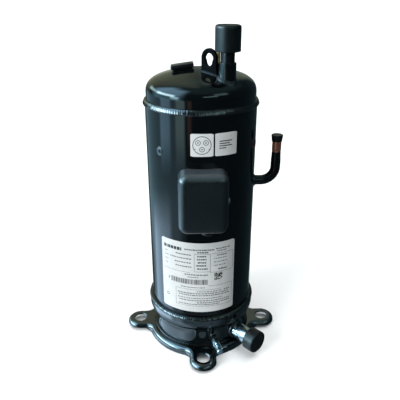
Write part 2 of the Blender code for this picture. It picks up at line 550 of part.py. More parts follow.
# ---------------------------------------------------------------- scroll set
def wrap(phi0, phi1, turn, n):
    """Outline of one involute wrap: out along its outer face, back along its inner face."""
    c, s = math.cos(math.radians(turn)), math.sin(math.radians(turn))

    def point(phi, off):
        x = INV_A * (math.cos(phi) + phi * math.sin(phi)) + off * math.sin(phi)
        y = INV_A * (math.sin(phi) - phi * math.cos(phi)) - off * math.cos(phi)
        return (x * c - y * s, x * s + y * c)

    # steps shorten outwards, so that every facet stands equally far off the curve
    phis = [(phi0 ** 1.5 + (phi1 ** 1.5 - phi0 ** 1.5) * i / n) ** (2 / 3) for i in range(n + 1)]
    return [point(p, WRAP_T / 2) for p in phis] + [point(p, -WRAP_T / 2) for p in reversed(phis)]


PHI0, PHI_ORB, PHI_FIX = 2.3, 14.8, 17.9
fixed = turned("fixed_scroll", [(0, 385.0), (51.0, 385.0), (51.0, 359.0), (66.6, 359.0), (66.6, 352.4), (75.6, 352.4), (75.6, 399.0), (0, 399.0)], IRON, seg=32, closed=False)
boolean(fixed, [prism("join_wrap", wrap(PHI0, PHI_FIX, WRAP_TURN, 74), 359.0, 388.0, None)], operation="UNION")
cuts = [prism("cut_port", circle(5.0, 16), 380.0, 405.0, None),
        prism("cut_suction_pocket", circle(8.7, 20, SUCTION_X, SUCTION_Y), 364.0, 405.0, None),
        prism("cut_suction_seat", circle(9.95, 20, SUCTION_X, SUCTION_Y), 393.0, 405.0, None)]
for i, az in enumerate(BOLTS):
    a = math.radians(az)
    cuts.append(prism("cut_fbolt_%d" % i, circle(3.4, 12, 70.6 * math.cos(a), 70.6 * math.sin(a)), 345.0, 405, None))
boolean(fixed, cuts)

orbiting = turned("orbiting_scroll", [(14.75, 335.0), (19.0, 335.0), (19.0, 350.7), (60.0, 350.7), (60.0, 358.6), (0, 358.6), (0, 350.7), (14.75, 350.7)], ALU, seg=40)
boolean(orbiting, [prism("join_owrap", wrap(PHI0, PHI_ORB, WRAP_TURN + 180.0, 54), 356.0, 384.6, None)], operation="UNION")
cuts = []
for sy in (-1, 1):  # keyways, wide because the ring's slide is free of the crank here
    cuts.append(prism("cut_okey_%d" % sy, box(0, sy * (KEY_R + 3.4), 12.2, 12.0), 345.0, 355.8, None))
boolean(orbiting, cuts)
bpy.data.objects["orbiting_scroll"].location = (0, ORBIT * MM, 0)
ob = turned("orbit_bearing", [(10.65, 335.6), (14.4, 335.6), (14.4, 349.8), (10.65, 349.8)], BRONZE, seg=40)
ob.location = (0, ORBIT * MM, 0)

ring = turned("oldham_ring", [(48.4, 345.5), (56.4, 345.5), (56.4, 350.2), (48.4, 350.2)], ALU, seg=32)
keys = []
for sx in (-1, 1):
    keys.append(prism("key_x_%d" % sx, box(sx * KEY_R, 0, 3.5, 3.0), 340.8, 348.0, None))
    keys.append(prism("key_y_%d" % sx, box(0, sx * KEY_R, 3.0, 3.5), 348.0, 355.2, None))
boolean(ring, keys, operation="UNION")

for i, az in enumerate(BOLTS):
    a = math.radians(az)
    x, y = 70.6 * math.cos(a), 70.6 * math.sin(a)
    bolt = prism("frame_bolt_%d" % (i + 1), hexagon(8.0), 399.4, 404.6, STEEL, matrix=placed(x, y))
    boolean(bolt, [prism("join_shank", circle(3.0, 12, x, y), 337.0, 401.0, None)], operation="UNION")

turned("discharge_check_valve", [(0, 399.4), (9.0, 399.4), (9.0, 400.6), (0, 400.6)], STEEL, seg=20, closed=False)
turned("suction_check_valve", [(0, 390.6), (8.2, 390.6), (8.2, 392.4), (0, 392.4)], STEEL, seg=20, closed=False, matrix=placed(SUCTION_X, SUCTION_Y))


def coil(name, radius, wire, z0, z1, turns, kind, x, y, per_turn=10):
    n = int(turns * per_turn)
    pts = [(x + radius * math.cos(2 * math.pi * i / per_turn), y + radius * math.sin(2 * math.pi * i / per_turn), z0 + (z1 - z0) * i / n) for i in range(n + 1)]
    return swept_tube(name, pts, [wire] * len(pts), None, kind, seg=5)


coil("suction_check_spring", 6.6, 0.6, 365.2, 389.6, 4, STEEL, SUCTION_X, SUCTION_Y)

# ---------------------------------------------------------------- leads
block = prism("cluster_block", rounded_rect(30.0, 26.0, 3.0, 3), 61.0, 73.0, WHITE_PLASTIC, matrix=along_y(TERMINAL_Z))
boolean(block, [turned("cut_block_%d" % i, [(0, 50), (2.0, 50), (2.0, 90), (0, 90)], None, seg=12, closed=False, matrix=along_y(TERMINAL_Z + z, x)) for i, (x, z) in enumerate(PINS)])
lead = [(30.0, -52.0, 253.6), (30.5, -53.0, 260.0), (30.5, -55.5, 267.0), (28.5, -59.0, 274.0), (25.5, -63.0, 279.0), (21.0, -66.0, 282.0), (16.4, -67.0, 283.0)]
swept_tube("lead_harness", lead, [3.6] * len(lead), None, PLASTIC, seg=10)


# ---------------------------------------------------------------- groups that move together
def group(name, at, members):
    """Parents the members to an empty on their common axis, and leaves them where they are."""
    e = bpy.data.objects.new(name, None)
    e.empty_display_size = 0.02
    bpy.context.scene.collection.objects.link(e)
    e.matrix_world = at
    for m in members:
        o = bpy.data.objects[m]
        o.parent = e
        o.matrix_parent_inverse = at.inverted()
    return e


group("axis_crank", placed(0, 0, 315.0), ["crankshaft", "rotor_core", "upper_end_ring", "lower_end_ring", "upper_counterweight", "lower_counterweight", "oil_pickup"])
group("axis_orbit", placed(0, ORBIT, 342.0), ["orbiting_scroll", "orbit_bearing"])
group("axis_oldham", placed(0, 0, 348.0), ["oldham_ring"])
group("axis_cover", along_y(COVER_Z), ["terminal_cover", "cable_grommet"])
group("axis_cover_screw", side, ["cover_screw"])
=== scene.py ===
"""Looks for the hermetic scroll compressor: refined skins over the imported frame, procedural materials, a pale studio and the camera."""
import json
import math
import random

import bmesh
import bpy
from mathutils import Matrix, Vector, noise

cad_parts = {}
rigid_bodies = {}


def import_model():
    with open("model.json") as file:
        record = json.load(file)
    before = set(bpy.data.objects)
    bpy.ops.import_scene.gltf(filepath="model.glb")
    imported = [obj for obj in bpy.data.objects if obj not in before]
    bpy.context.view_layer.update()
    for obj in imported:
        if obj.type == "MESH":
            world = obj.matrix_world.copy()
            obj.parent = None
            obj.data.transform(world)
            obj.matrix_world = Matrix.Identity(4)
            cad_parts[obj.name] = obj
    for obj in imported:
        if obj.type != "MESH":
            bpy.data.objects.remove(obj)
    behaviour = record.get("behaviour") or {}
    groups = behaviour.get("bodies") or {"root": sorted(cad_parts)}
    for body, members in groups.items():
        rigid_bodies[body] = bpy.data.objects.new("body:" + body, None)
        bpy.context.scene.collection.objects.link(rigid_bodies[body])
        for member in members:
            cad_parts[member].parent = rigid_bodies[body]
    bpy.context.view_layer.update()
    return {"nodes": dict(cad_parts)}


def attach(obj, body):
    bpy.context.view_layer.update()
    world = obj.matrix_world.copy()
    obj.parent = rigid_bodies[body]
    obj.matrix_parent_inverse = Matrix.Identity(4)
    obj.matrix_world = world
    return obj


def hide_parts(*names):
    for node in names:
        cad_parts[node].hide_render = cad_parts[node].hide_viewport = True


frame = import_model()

MM = 0.001
NODES = frame["nodes"]

# ------------------------------------------------------------------ small helpers


def fillet(points, radii, n=5, closed=False):
    """Polyline with its corners rounded. radii is one number or one per point."""
    pts = [Vector(p) for p in points]
    count = len(pts)
    rad = [radii] * count if isinstance(radii, (int, float)) else list(radii)
    out = []
    for i, p in enumerate(pts):
        if (not closed and i in (0, count - 1)) or rad[i] <= 0:
            out.append(p.copy())
            continue
        a, b = pts[i - 1] - p, pts[(i + 1) % count] - p
        la, lb = a.length, b.length
        if la < 1e-9 or lb < 1e-9:
            out.append(p.copy())
            continue
        a.normalize()
        b.normalize()
        cosang = max(-1.0, min(1.0, a.dot(b)))
        half = math.acos(cosang) / 2
        if half > math.radians(89.5):
            out.append(p.copy())
            continue
        cut = min(rad[i] / math.tan(half), la * 0.48, lb * 0.48)
        r = cut * math.tan(half)
        mid = (a + b).normalized()
        centre = p + mid * (r / math.sin(half))
        s, e = p + a * cut - centre, p + b * cut - centre
        full = s.angle(e)
        cross = s.x * e.y - s.y * e.x
        sign = 1 if cross > 0 else -1
        for k in range(n + 1):
            t = sign * full * k / n
            out.append(centre + Vector((s.x * math.cos(t) - s.y * math.sin(t), s.x * math.sin(t) + s.y * math.cos(t))))
    return [(v.x, v.y) for v in out]


def spline(points, per=6):
    """Catmull-Rom through the points."""
    out = []
    n = len(points)
    for i in range(n - 1):
        p0 = Vector(points[max(i - 1, 0)])
        p1, p2 = Vector(points[i]), Vector(points[i + 1])
        p3 = Vector(points[min(i + 2, n - 1)])
        for k in range(per):
            t = k / per
            out.append(0.5 * ((2 * p1) + (p2 - p0) * t + (2 * p0 - 5 * p1 + 4 * p2 - p3) * t * t + (3 * p1 - p0 - 3 * p2 + p3) * t ** 3))
    out.append(Vector(points[-1]))
    return [tuple(v) for v in out]


def finish_mesh(name, verts, faces, mat, body="casing", replaces=(), slot=None, smooth=35.0, matrix=None, flip_check=True):
    me = bpy.data.meshes.new(name)
    me.from_pydata([tuple(v) for v in verts], [], faces)
    bm = bmesh.new()
    bm.from_mesh(me)
    bmesh.ops.remove_doubles(bm, verts=bm.verts, dist=1e-7)
    if flip_check:
        bmesh.ops.recalc_face_normals(bm, faces=bm.faces)
    bm.to_mesh(me)
    bm.free()
    if smooth:
        me.shade_smooth()
        me.set_sharp_from_angle(angle=math.radians(smooth))
    o = bpy.data.objects.new(name, me)
    bpy.context.scene.collection.objects.link(o)
    if matrix is not None:
        o.matrix_world = matrix
        bpy.context.view_layer.update()
    if mat is not None:
        me.materials.append(mat)
    if body:
        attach(o, body)
    if replaces:
        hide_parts(*replaces)
    return o


def lathe(name, profile, mat, seg=96, matrix=None, closed=False, wobble=None, **kw):
    """Revolves (radius, z) points in millimetres. wobble(angle, r, z) returns a new (r, z)."""
    verts, rings = [], []
    for r, z in profile:
        if abs(r) < 1e-6:
            verts.append((0, 0, z * MM))
            rings.append([len(verts) - 1])
            continue
        ring = []
        for k in range(seg):
            a = 2 * math.pi * k / seg
            rr, zz = wobble(a, r, z) if wobble else (r, z)
            verts.append((rr * MM * math.cos(a), rr * MM * math.sin(a), zz * MM))
            ring.append(len(verts) - 1)
        rings.append(ring)
    faces = []
    pairs = list(zip(rings, rings[1:]))
    if closed:
        pairs.append((rings[-1], rings[0]))
    for a, b in pairs:
        if len(a) == 1 and len(b) == 1:
            continue
        for k in range(seg):
            q = (k + 1) % seg
            if len(a) == 1:
                faces.append((a[0], b[q], b[k]))
            elif len(b) == 1:
                faces.append((a[k], a[q], b[0]))
            else:
                faces.append((a[k], a[q], b[q], b[k]))
    return finish_mesh(name, verts, faces, mat, matrix=matrix, **kw)


def sweep(name, path, outer, inner, mat, seg=32, **kw):
    """Round tube along a 3-D path in millimetres, with a radius for each point."""
    pts = [Vector(p) * MM for p in path]
    n = len(pts)
    tang = [(pts[min(i + 1, n - 1)] - pts[max(i - 1, 0)]).normalized() for i in range(n)]
    side = tang[0].orthogonal().normalized()
    verts, ro, ri = [], [], []
    for i in range(n):
        t = tang[i]
        side = (side - t * side.dot(t)).normalized()
        other = t.cross(side)
        for store, rad in ((ro, outer), (ri, inner)):
            if rad is None:
                continue
            ring = []
            for k in range(seg):
                a = 2 * math.pi * k / seg
                verts.append(pts[i] + (side * math.cos(a) + other * math.sin(a)) * rad[i] * MM)
                ring.append(len(verts) - 1)
            store.append(ring)
    faces = []

    def skin(a, b):
        for k in range(seg):
            q = (k + 1) % seg
            faces.append((a[k], a[q], b[q], b[k]))

    for i in range(n - 1):
        skin(ro[i], ro[i + 1])
        if inner is not None:
            skin(ri[i], ri[i + 1])
    if inner is not None:
        skin(ro[0], ri[0])
        skin(ro[-1], ri[-1])
    else:
        faces.append(tuple(ro[0]))
        faces.append(tuple(ro[-1]))
    return finish_mesh(name, verts, faces, mat, **kw)


def rounded_rect(w, h, r, n=8, cx=0.0, cy=0.0):
    pts = []
    for sx, sy, a0 in ((1, 1, 0), (-1, 1, 90), (-1, -1, 180), (1, -1, 270)):
        for i in range(n + 1):
            a = math.radians(a0 + 90 * i / n)
            pts.append((cx + sx * (w / 2 - r) + r * math.cos(a), cy + sy * (h / 2 - r) + r * math.sin(a)))
    return pts


def loft(name, rings, mat, cap0=True, cap1=True, closed=False, **kw):
    """Skins rings of equal length; rings hold 3-D points in millimetres."""
    verts, idx = [], []
    for ring in rings:
        idx.append([])
        for p in ring:
            verts.append(Vector(p) * MM)
            idx[-1].append(len(verts) - 1)
    faces = []
    pairs = list(zip(idx, idx[1:])) + ([(idx[-1], idx[0])] if closed else [])
    for a, b in pairs:
        for k in range(len(a)):
            q = (k + 1) % len(a)
            faces.append((a[k], a[q], b[q], b[k]))
    if cap0 and not closed:
        faces.append(tuple(reversed(idx[0])))
    if cap1 and not closed:
        faces.append(tuple(idx[-1]))
    return finish_mesh(name, verts, faces, mat, **kw)


def placed(x, y, z=0.0, turn=0.0):
    return Matrix.Translation((x * MM, y * MM, z * MM)) @ Matrix.Rotation(math.radians(turn), 4, "Z")


def radial(az, z):
    return Matrix.Translation((0, 0, z * MM)) @ Matrix.Rotation(math.radians(az), 4, "Z") @ Matrix.Rotation(math.radians(90), 4, "X")


def along_y(z=0.0, x=0.0):
    return Matrix.Translation((x * MM, 0, z * MM)) @ Matrix.Rotation(math.radians(90), 4, "X")


# ------------------------------------------------------------------ materials
class Tree:
    """Small wrapper that makes shader nodes and links them."""

    def __init__(self, name):
        self.mat = bpy.data.materials.new(name)
        self.mat.use_nodes = True
        self.nt = self.mat.node_tree
        self.bsdf = self.nt.nodes["Principled BSDF"]
        self.coord = self.nt.nodes.new("ShaderNodeTexCoord").outputs["Object"]

    def new(self, kind, **inputs):
        n = self.nt.nodes.new(kind)
        for k, v in inputs.items():
            k = k.replace("_", " ")
            if isinstance(v, bpy.types.NodeSocket):
                self.nt.links.new(v, n.inputs[k])
            else:
                n.inputs[k].default_value = v
        return n

    def link(self, out, socket):
        self.nt.links.new(out, self.bsdf.inputs[socket] if isinstance(socket, str) else socket)

    def noise(self, scale, detail=3.0, rough=0.55, stretch=None, seed=0.0):
        vec = self.coord
        if stretch or seed:
            m = self.nt.nodes.new("ShaderNodeMapping")
            self.nt.links.new(self.coord, m.inputs["Vector"])
            if stretch:
                m.inputs["Scale"].default_value = stretch
            m.inputs["Location"].default_value = (seed, seed * 0.37, seed * 0.71)
            vec = m.outputs["Vector"]
        n = self.new("ShaderNodeTexNoise", Vector=vec, Scale=scale, Detail=detail, Roughness=rough)
        return n.outputs["Fac"]

    def ramp(self, value, stops, interp="LINEAR"):
        n = self.nt.nodes.new("ShaderNodeValToRGB")
        n.color_ramp.interpolation = interp
        while len(n.color_ramp.elements) < len(stops):
            n.color_ramp.elements.new(0.5)
        for e, (p, c) in zip(n.color_ramp.elements, stops):
            e.position = p
            e.color = (*c, 1.0) if len(c) == 3 else c
        self.nt.links.new(value, n.inputs["Fac"])
        return n.outputs["Color"]

    def span(self, value, a, b, lo, hi):
        n = self.nt.nodes.new("ShaderNodeMapRange")
        n.clamp = True
        for k, v in (("From Min", a), ("From Max", b), ("To Min", lo), ("To Max", hi)):
            n.inputs[k].default_value = v
        self.nt.links.new(value, n.inputs["Value"])
        return n.outputs["Result"]

    def math(self, op, a, b=None):
        n = self.nt.nodes.new("ShaderNodeMath")
        n.operation = op
        for i, v in enumerate((a, b)):
            if v is None:
                continue
            if isinstance(v, bpy.types.NodeSocket):
                self.nt.links.new(v, n.inputs[i])
            else:
                n.inputs[i].default_value = v
        return n.outputs[0]

    def mix(self, fac, a, b):
        n = self.nt.nodes.new("ShaderNodeMix")
        n.data_type = "RGBA"
        for sock, v in ((n.inputs[0], fac), (n.inputs[6], a), (n.inputs[7], b)):
            if isinstance(v, bpy.types.NodeSocket):
                self.nt.links.new(v, sock)
            else:
                sock.default_value = v if isinstance(v, (int, float)) else (*v, 1.0) if len(v) == 3 else v
        return n.outputs[2]

    def bump(self, height, strength, distance, below=None):
        n = self.nt.nodes.new("ShaderNodeBump")
        n.inputs["Strength"].default_value = strength
        n.inputs["Distance"].default_value = distance
        self.nt.links.new(height, n.inputs["Height"])
        if below is not None:
            self.nt.links.new(below, n.inputs["Normal"])
        return n.outputs["Normal"]

    def done(self, **fixed):
        for k, v in fixed.items():
            self.bsdf.inputs[k.replace("_", " ")].default_value = v
        return self.mat


def enamel(name, rough=(0.05, 0.11), dark=(0.0008, 0.0012, 0.0014), light=(0.0022, 0.0030, 0.0034), peel=0.08, dents=0.22, dust=0.5, specular=0.5, painted_top_sheen=0.0, ior=1.5):
    """Baked gloss black: orange peel, slow unevenness of the pressed steel under it, a little dust and handling wear,
    and, where asked, a painted sheen that lightens faces turned up.
    """
    t = Tree(name)
    big = t.noise(14.0, 2.0)
    fine = t.noise(160.0, 4.0, 0.6, seed=3.1)
    col = t.mix(t.span(big, 0.35, 0.7, 0.0, 1.0), dark, light)
    specks = t.noise(1500.0, 2.0, 0.5, seed=7.7)
    speck_mask = t.span(specks, 0.70, 0.76, 0.0, dust)
    col = t.mix(speck_mask, col, (0.020, 0.020, 0.018))
    scuff = t.noise(60.0, 6.0, 0.75, stretch=(1.0, 1.0, 0.18), seed=1.9)
    scuff_mask = t.span(scuff, 0.60, 0.74, 0.0, 1.0)
    if painted_top_sheen:  # faces turned up are painted a lighter bluish grey: a painted sheen from the light above, not dust
        geometry = t.nt.nodes.new("ShaderNodeNewGeometry")
        parts = t.new("ShaderNodeSeparateXYZ", Vector=geometry.outputs["Normal"])
        top_sheen_mask = t.span(parts.outputs["Z"], 0.25, 0.95, 0.0, painted_top_sheen)
        top_sheen_mask = t.math("MULTIPLY", top_sheen_mask, t.span(t.noise(70.0, 4.0, 0.6, seed=6.1), 0.3, 0.7, 0.7, 1.0))
        col = t.mix(top_sheen_mask, col, (0.085, 0.110, 0.130))
    t.link(col, "Base Color")
    r = t.math("ADD", t.span(fine, 0.3, 0.7, rough[0], rough[1]), t.math("MULTIPLY", scuff_mask, 0.07))
    r = t.math("ADD", r, t.math("MULTIPLY", speck_mask, 0.25))
    t.link(r, "Roughness")
    n = t.bump(t.noise(9.0, 1.5), dents, 0.0016)
    n = t.bump(t.noise(42.0, 2.0, 0.5, seed=5.0), dents * 0.6, 0.00035, n)
    n = t.bump(t.noise(620.0, 2.0, 0.5, seed=2.0), peel, 0.00012, n)
    t.link(n, "Normal")
    return t.done(Metallic=0.0, IOR=ior, Specular_IOR_Level=specular)


def weld(name, specular=0.95):
    """Painted weld metal: the gloss paint over fine rippled scale and spatter."""
    t = Tree(name)
    col = t.mix(t.span(t.noise(240.0, 3.0), 0.4, 0.7, 0.0, 1.0), (0.0015, 0.0018, 0.002), (0.007, 0.007, 0.0065))
    t.link(col, "Base Color")
    t.link(t.span(t.noise(400.0, 3.0, seed=2.0), 0.3, 0.7, 0.07, 0.15), "Roughness")
    n = t.bump(t.noise(330.0, 4.0, 0.6), 0.35, 0.0006)
    n = t.bump(t.noise(1200.0, 2.0, 0.5, seed=4.0), 0.2, 0.0001, n)
    t.link(n, "Normal")
    return t.done(Metallic=0.0, IOR=1.5, Specular_IOR_Level=specular)


def rubber(name, base=(0.016, 0.0175, 0.019), worn=(0.034, 0.037, 0.040), rough=(0.42, 0.62), grain=0.25, chalk=0.0):
    t = Tree(name)
    cloud = t.noise(38.0, 5.0, 0.65)
    col = t.mix(t.span(cloud, 0.38, 0.68, 0.0, 1.0), base, worn)
    bloom = t.span(t.noise(95.0, 6.0, 0.7, seed=6.0), 0.56, 0.72, 0.0, 0.5 + chalk)
    col = t.mix(bloom, col, tuple(min(1.0, c * 1.8) for c in worn))
    t.link(col, "Base Color")
    t.link(t.span(t.noise(70.0, 3.0, seed=1.0), 0.3, 0.7, rough[0], rough[1]), "Roughness")
    n = t.bump(t.noise(900.0, 3.0, 0.6, seed=8.0), grain, 0.00012)
    n = t.bump(t.noise(60.0, 2.0, 0.5), 0.15, 0.0005, n)
    t.link(n, "Normal")
    return t.done(Metallic=0.0, IOR=1.48)


def bare_metal(name, tones, rough=(0.16, 0.34), streak=(1.0, 1.0, 0.15), streak_scale=300.0, bump=0.12, patina=None, metallic=1.0):
    """Drawn, plated or machined metal: tones is (dark, light); patina is an optional third colour in patches."""
    t = Tree(name)
    col = t.mix(t.span(t.noise(55.0, 4.0, 0.6), 0.35, 0.68, 0.0, 1.0), tones[0], tones[1])
    if patina:
        col = t.mix(t.span(t.noise(110.0, 6.0, 0.7, seed=4.4), 0.52, 0.66, 0.0, 0.85), col, patina)
    t.link(col, "Base Color")
    lines = t.noise(streak_scale, 3.0, 0.6, stretch=streak, seed=1.3)
    t.link(t.span(lines, 0.3, 0.7, rough[0], rough[1]), "Roughness")
    n = t.bump(lines, bump, 0.00006)
    n = t.bump(t.noise(120.0, 3.0, 0.6, seed=9.0), 0.08, 0.0004, n)
    t.link(n, "Normal")
    return t.done(Metallic=metallic)


def cast(name, tones=((0.07, 0.07, 0.072), (0.16, 0.16, 0.165)), metallic=0.75, rough=(0.42, 0.65)):
    t = Tree(name)
    t.link(t.mix(t.span(t.noise(70.0, 5.0, 0.65), 0.35, 0.68, 0.0, 1.0), *tones), "Base Color")
    t.link(t.span(t.noise(260.0, 3.0), 0.3, 0.7, *rough), "Roughness")
    n = t.bump(t.noise(700.0, 4.0, 0.65, seed=2.2), 0.4, 0.00025)
    t.link(n, "Normal")
    return t.done(Metallic=metallic)


def laminations(name):
    """Stacked sheets 0.5 mm thick, seen edge on."""
    t = Tree(name)
    sep = t.nt.nodes.new("ShaderNodeSeparateXYZ")
    t.nt.links.new(t.coord, sep.inputs[0])
    wave = t.math("FRACT", t.math("MULTIPLY", sep.outputs["Z"], 2000.0))
    line = t.span(t.math("ABSOLUTE", t.math("SUBTRACT", wave, 0.5)), 0.36, 0.5, 0.0, 1.0)
    col = t.mix(line, t.mix(t.noise(90.0, 3.0), (0.16, 0.17, 0.19), (0.26, 0.27, 0.29)), (0.05, 0.045, 0.04))
    t.link(col, "Base Color")
    t.link(t.span(t.noise(200.0, 3.0), 0.3, 0.7, 0.35, 0.55), "Roughness")
    t.link(t.bump(t.math("SUBTRACT", 1.0, line), 0.5, 0.0001), "Normal")
    return t.done(Metallic=0.85)


def winding(name):
    """Varnished round wire, laid in turns round the bore."""
    t = Tree(name)
    sep = t.nt.nodes.new("ShaderNodeSeparateXYZ")
    t.nt.links.new(t.coord, sep.inputs[0])
    rr = t.math("SQRT", t.math("ADD", t.math("POWER", sep.outputs["X"], 2.0), t.math("POWER", sep.outputs["Y"], 2.0)))
    mixed = t.math("ADD", t.math("ADD", rr, sep.outputs["Z"]), t.math("MULTIPLY", t.noise(30.0, 2.0), 0.006))
    wave = t.math("ABSOLUTE", t.math("SUBTRACT", t.math("FRACT", t.math("MULTIPLY", mixed, 900.0)), 0.5))
    # each turn is painted lighter on its crest and darker in the groove between turns: painted highlight and painted
    # shade
    t.link(t.mix(t.span(wave, 0.0, 0.5, 0.0, 1.0), (0.12, 0.03, 0.012), (0.55, 0.19, 0.07)), "Base Color")
    t.link(t.span(t.noise(80.0), 0.3, 0.7, 0.22, 0.4), "Roughness")
    t.link(t.bump(wave, 0.8, 0.0005), "Normal")
    return t.done(Metallic=0.35)


def plain(name, a, b, rough=(0.4, 0.6), scale=60.0, bump=0.1, bump_scale=500.0, metallic=0.0):
    t = Tree(name)
    t.link(t.mix(t.span(t.noise(scale, 4.0, 0.6), 0.35, 0.68, 0.0, 1.0), a, b), "Base Color")
    t.link(t.span(t.noise(scale * 2.3, 3.0, seed=2.0), 0.3, 0.7, *rough), "Roughness")
    t.link(t.bump(t.noise(bump_scale, 3.0), bump, 0.0001), "Normal")
    return t.done(Metallic=metallic)


ENAMEL = enamel("black_enamel_shell")
ENAMEL_DOME = enamel("black_enamel_dome", rough=(0.05, 0.11), dents=0.42, dust=0.7)
ENAMEL_BASE = enamel("black_enamel_base", specular=1.0, ior=1.7, rough=(0.05, 0.10), dents=0.18, peel=0.06, dust=0.8, light=(0.003, 0.004, 0.0045))
ENAMEL_FIT = enamel("black_enamel_fittings", rough=(0.08, 0.17), dents=0.2, peel=0.12)
EYE_PAINT = enamel("black_enamel_eye", rough=(0.3, 0.42), dark=(0.0006, 0.0007, 0.0007), light=(0.0014, 0.0015, 0.0015), dents=0.2, peel=0.2, specular=0.03)
# the cover's faces turned up get a painted bluish sheen, lighter on top as from the light above
COVER_PAINT = enamel("black_enamel_cover", rough=(0.27, 0.37), dark=(0.002, 0.0026, 0.003), light=(0.006, 0.007, 0.0075), dents=0.3, peel=0.2, specular=1.0, painted_top_sheen=0.5)
WELD = weld("painted_weld")
WELD_DULL = weld("painted_weld_foot", 0.25)
RUBBER = rubber("plug_rubber", base=(0.0016, 0.0020, 0.0023), worn=(0.0055, 0.0064, 0.0070), rough=(0.30, 0.42))
RUBBER_CAP = rubber("oil_cap_rubber", base=(0.0045, 0.0045, 0.0045), worn=(0.010, 0.0098, 0.0095), rough=(0.38, 0.5))
RUBBER_THERMO = rubber("thermostat_rubber", base=(0.0012, 0.0014, 0.0016), worn=(0.004, 0.0045, 0.005), rough=(0.28, 0.4))
COPPER = bare_metal("drawn_copper", ((0.42, 0.12, 0.055), (0.72, 0.34, 0.22)), rough=(0.16, 0.30), patina=(0.22, 0.07, 0.035), metallic=0.8)
COPPER_DARK = bare_metal("sooty_copper", ((0.010, 0.011, 0.012), (0.026, 0.025, 0.025)), rough=(0.22, 0.4), patina=(0.012, 0.012, 0.012), metallic=0.8)
BRASS = bare_metal("brass_cap", ((0.50, 0.38, 0.16), (0.78, 0.66, 0.36)), rough=(0.2, 0.36), patina=(0.40, 0.32, 0.17), metallic=0.5)
ZINC = bare_metal("zinc_plate", ((0.46, 0.50, 0.54), (0.72, 0.76, 0.80)), rough=(0.12, 0.28), patina=(0.16, 0.17, 0.19))
STEEL = bare_metal("ground_steel", ((0.34, 0.35, 0.36), (0.52, 0.53, 0.54)), rough=(0.24, 0.42))
ALU = cast("cast_aluminium", ((0.45, 0.46, 0.47), (0.68, 0.69, 0.70)), metallic=0.95, rough=(0.32, 0.5))
IRON = cast("grey_iron")
BRONZE = bare_metal("sintered_bronze", ((0.38, 0.24, 0.11), (0.58, 0.40, 0.20)), rough=(0.32, 0.5))
LAMS = laminations("lamination_stack")
WIRE = winding("magnet_wire")
INSULATOR = plain("white_insulator", (0.62, 0.60, 0.54), (0.78, 0.77, 0.72))
SLEEVE = plain("braided_sleeve", (0.012, 0.012, 0.013), (0.04, 0.04, 0.042), bump=0.6, bump_scale=700.0)
FOAM = plain("gasket_foam", (0.02, 0.02, 0.02), (0.045, 0.045, 0.045), rough=(0.8, 0.95), bump=0.5)
LABEL = plain("label_stock", (0.80, 0.83, 0.84), (0.87, 0.89, 0.90), rough=(0.22, 0.34), scale=25.0, bump=0.05, bump_scale=300.0)
INK = plain("label_ink", (0.010, 0.011, 0.012), (0.030, 0.032, 0.034), rough=(0.3, 0.45), scale=400.0)
INK_GREY = plain("label_ink_grey", (0.075, 0.082, 0.09), (0.14, 0.15, 0.16), rough=(0.3, 0.45), scale=400.0)
INK_LINE = plain("label_ink_rules", (0.12, 0.135, 0.15), (0.20, 0.22, 0.24), rough=(0.3, 0.45), scale=400.0)

BY_NODE = {
    "stator_core": LAMS, "rotor_core": LAMS, "upper_winding": WIRE, "lower_winding": WIRE, "upper_end_ring": ALU, "lower_end_ring": ALU,
    "upper_counterweight": IRON, "lower_counterweight": BRASS, "crankshaft": STEEL, "oil_pickup": STEEL, "main_bearing": BRONZE, "lower_bearing": BRONZE,
    "lower_frame": IRON, "main_frame": IRON, "fixed_scroll": IRON, "orbiting_scroll": ALU, "orbit_bearing": BRONZE, "oldham_ring": ALU,
    "frame_bolt_1": STEEL, "frame_bolt_2": STEEL, "frame_bolt_3": STEEL, "discharge_check_valve": STEEL, "suction_check_valve": STEEL,
    "suction_check_spring": STEEL, "cluster_block": INSULATOR, "lead_harness": SLEEVE, "terminal_gasket": FOAM, "terminal_fence": ENAMEL_FIT,
    "terminal_body": ZINC, "terminal_pin_1": COPPER, "terminal_pin_2": COPPER, "terminal_pin_3": COPPER, "oil_valve_tube": COPPER_DARK,
}
for node_name, mat in BY_NODE.items():
    me = NODES[node_name].data
    me.materials.clear()
    me.materials.append(mat)

# ------------------------------------------------------------------ shell and caps
SHELL_R, SHELL_IN = 82.5, 79.5
lathe("shell_skin", [(SHELL_R, 52.5)] + [(SHELL_R, 52.5 + 348.0 * i / 24) for i in range(1, 25)] + [(SHELL_IN, 400.5), (SHELL_IN, 52.5)], ENAMEL, seg=160, closed=True,
      replaces=["shell_body"], slot="black_enamel")

CROWN = [(80.6, 417.0), (79.9, 421.6), (78.2, 426.0), (75.0, 430.3), (70.0, 434.2), (64.0, 437.3), (54.0, 440.6), (41.0, 443.5), (27.0, 445.8), (13.5, 447.2), (0.0, 447.6)]
dome = [(79.1, 386.5), (79.1, 400.8), (80.6, 401.2), (80.6, 405.0), (80.6, 409.0), (80.6, 413.0)] + spline(CROWN, 5)
dome_in = [(0.0, 444.2), (20.0, 443.2), (42.0, 440.0), (58.0, 435.8), (69.0, 429.6), (74.0, 423.0), (76.2, 414.0), (76.2, 386.5)]
lathe("dome_skin", dome + dome_in, ENAMEL_DOME, seg=160, closed=True, replaces=["top_cap"], slot="black_enamel")

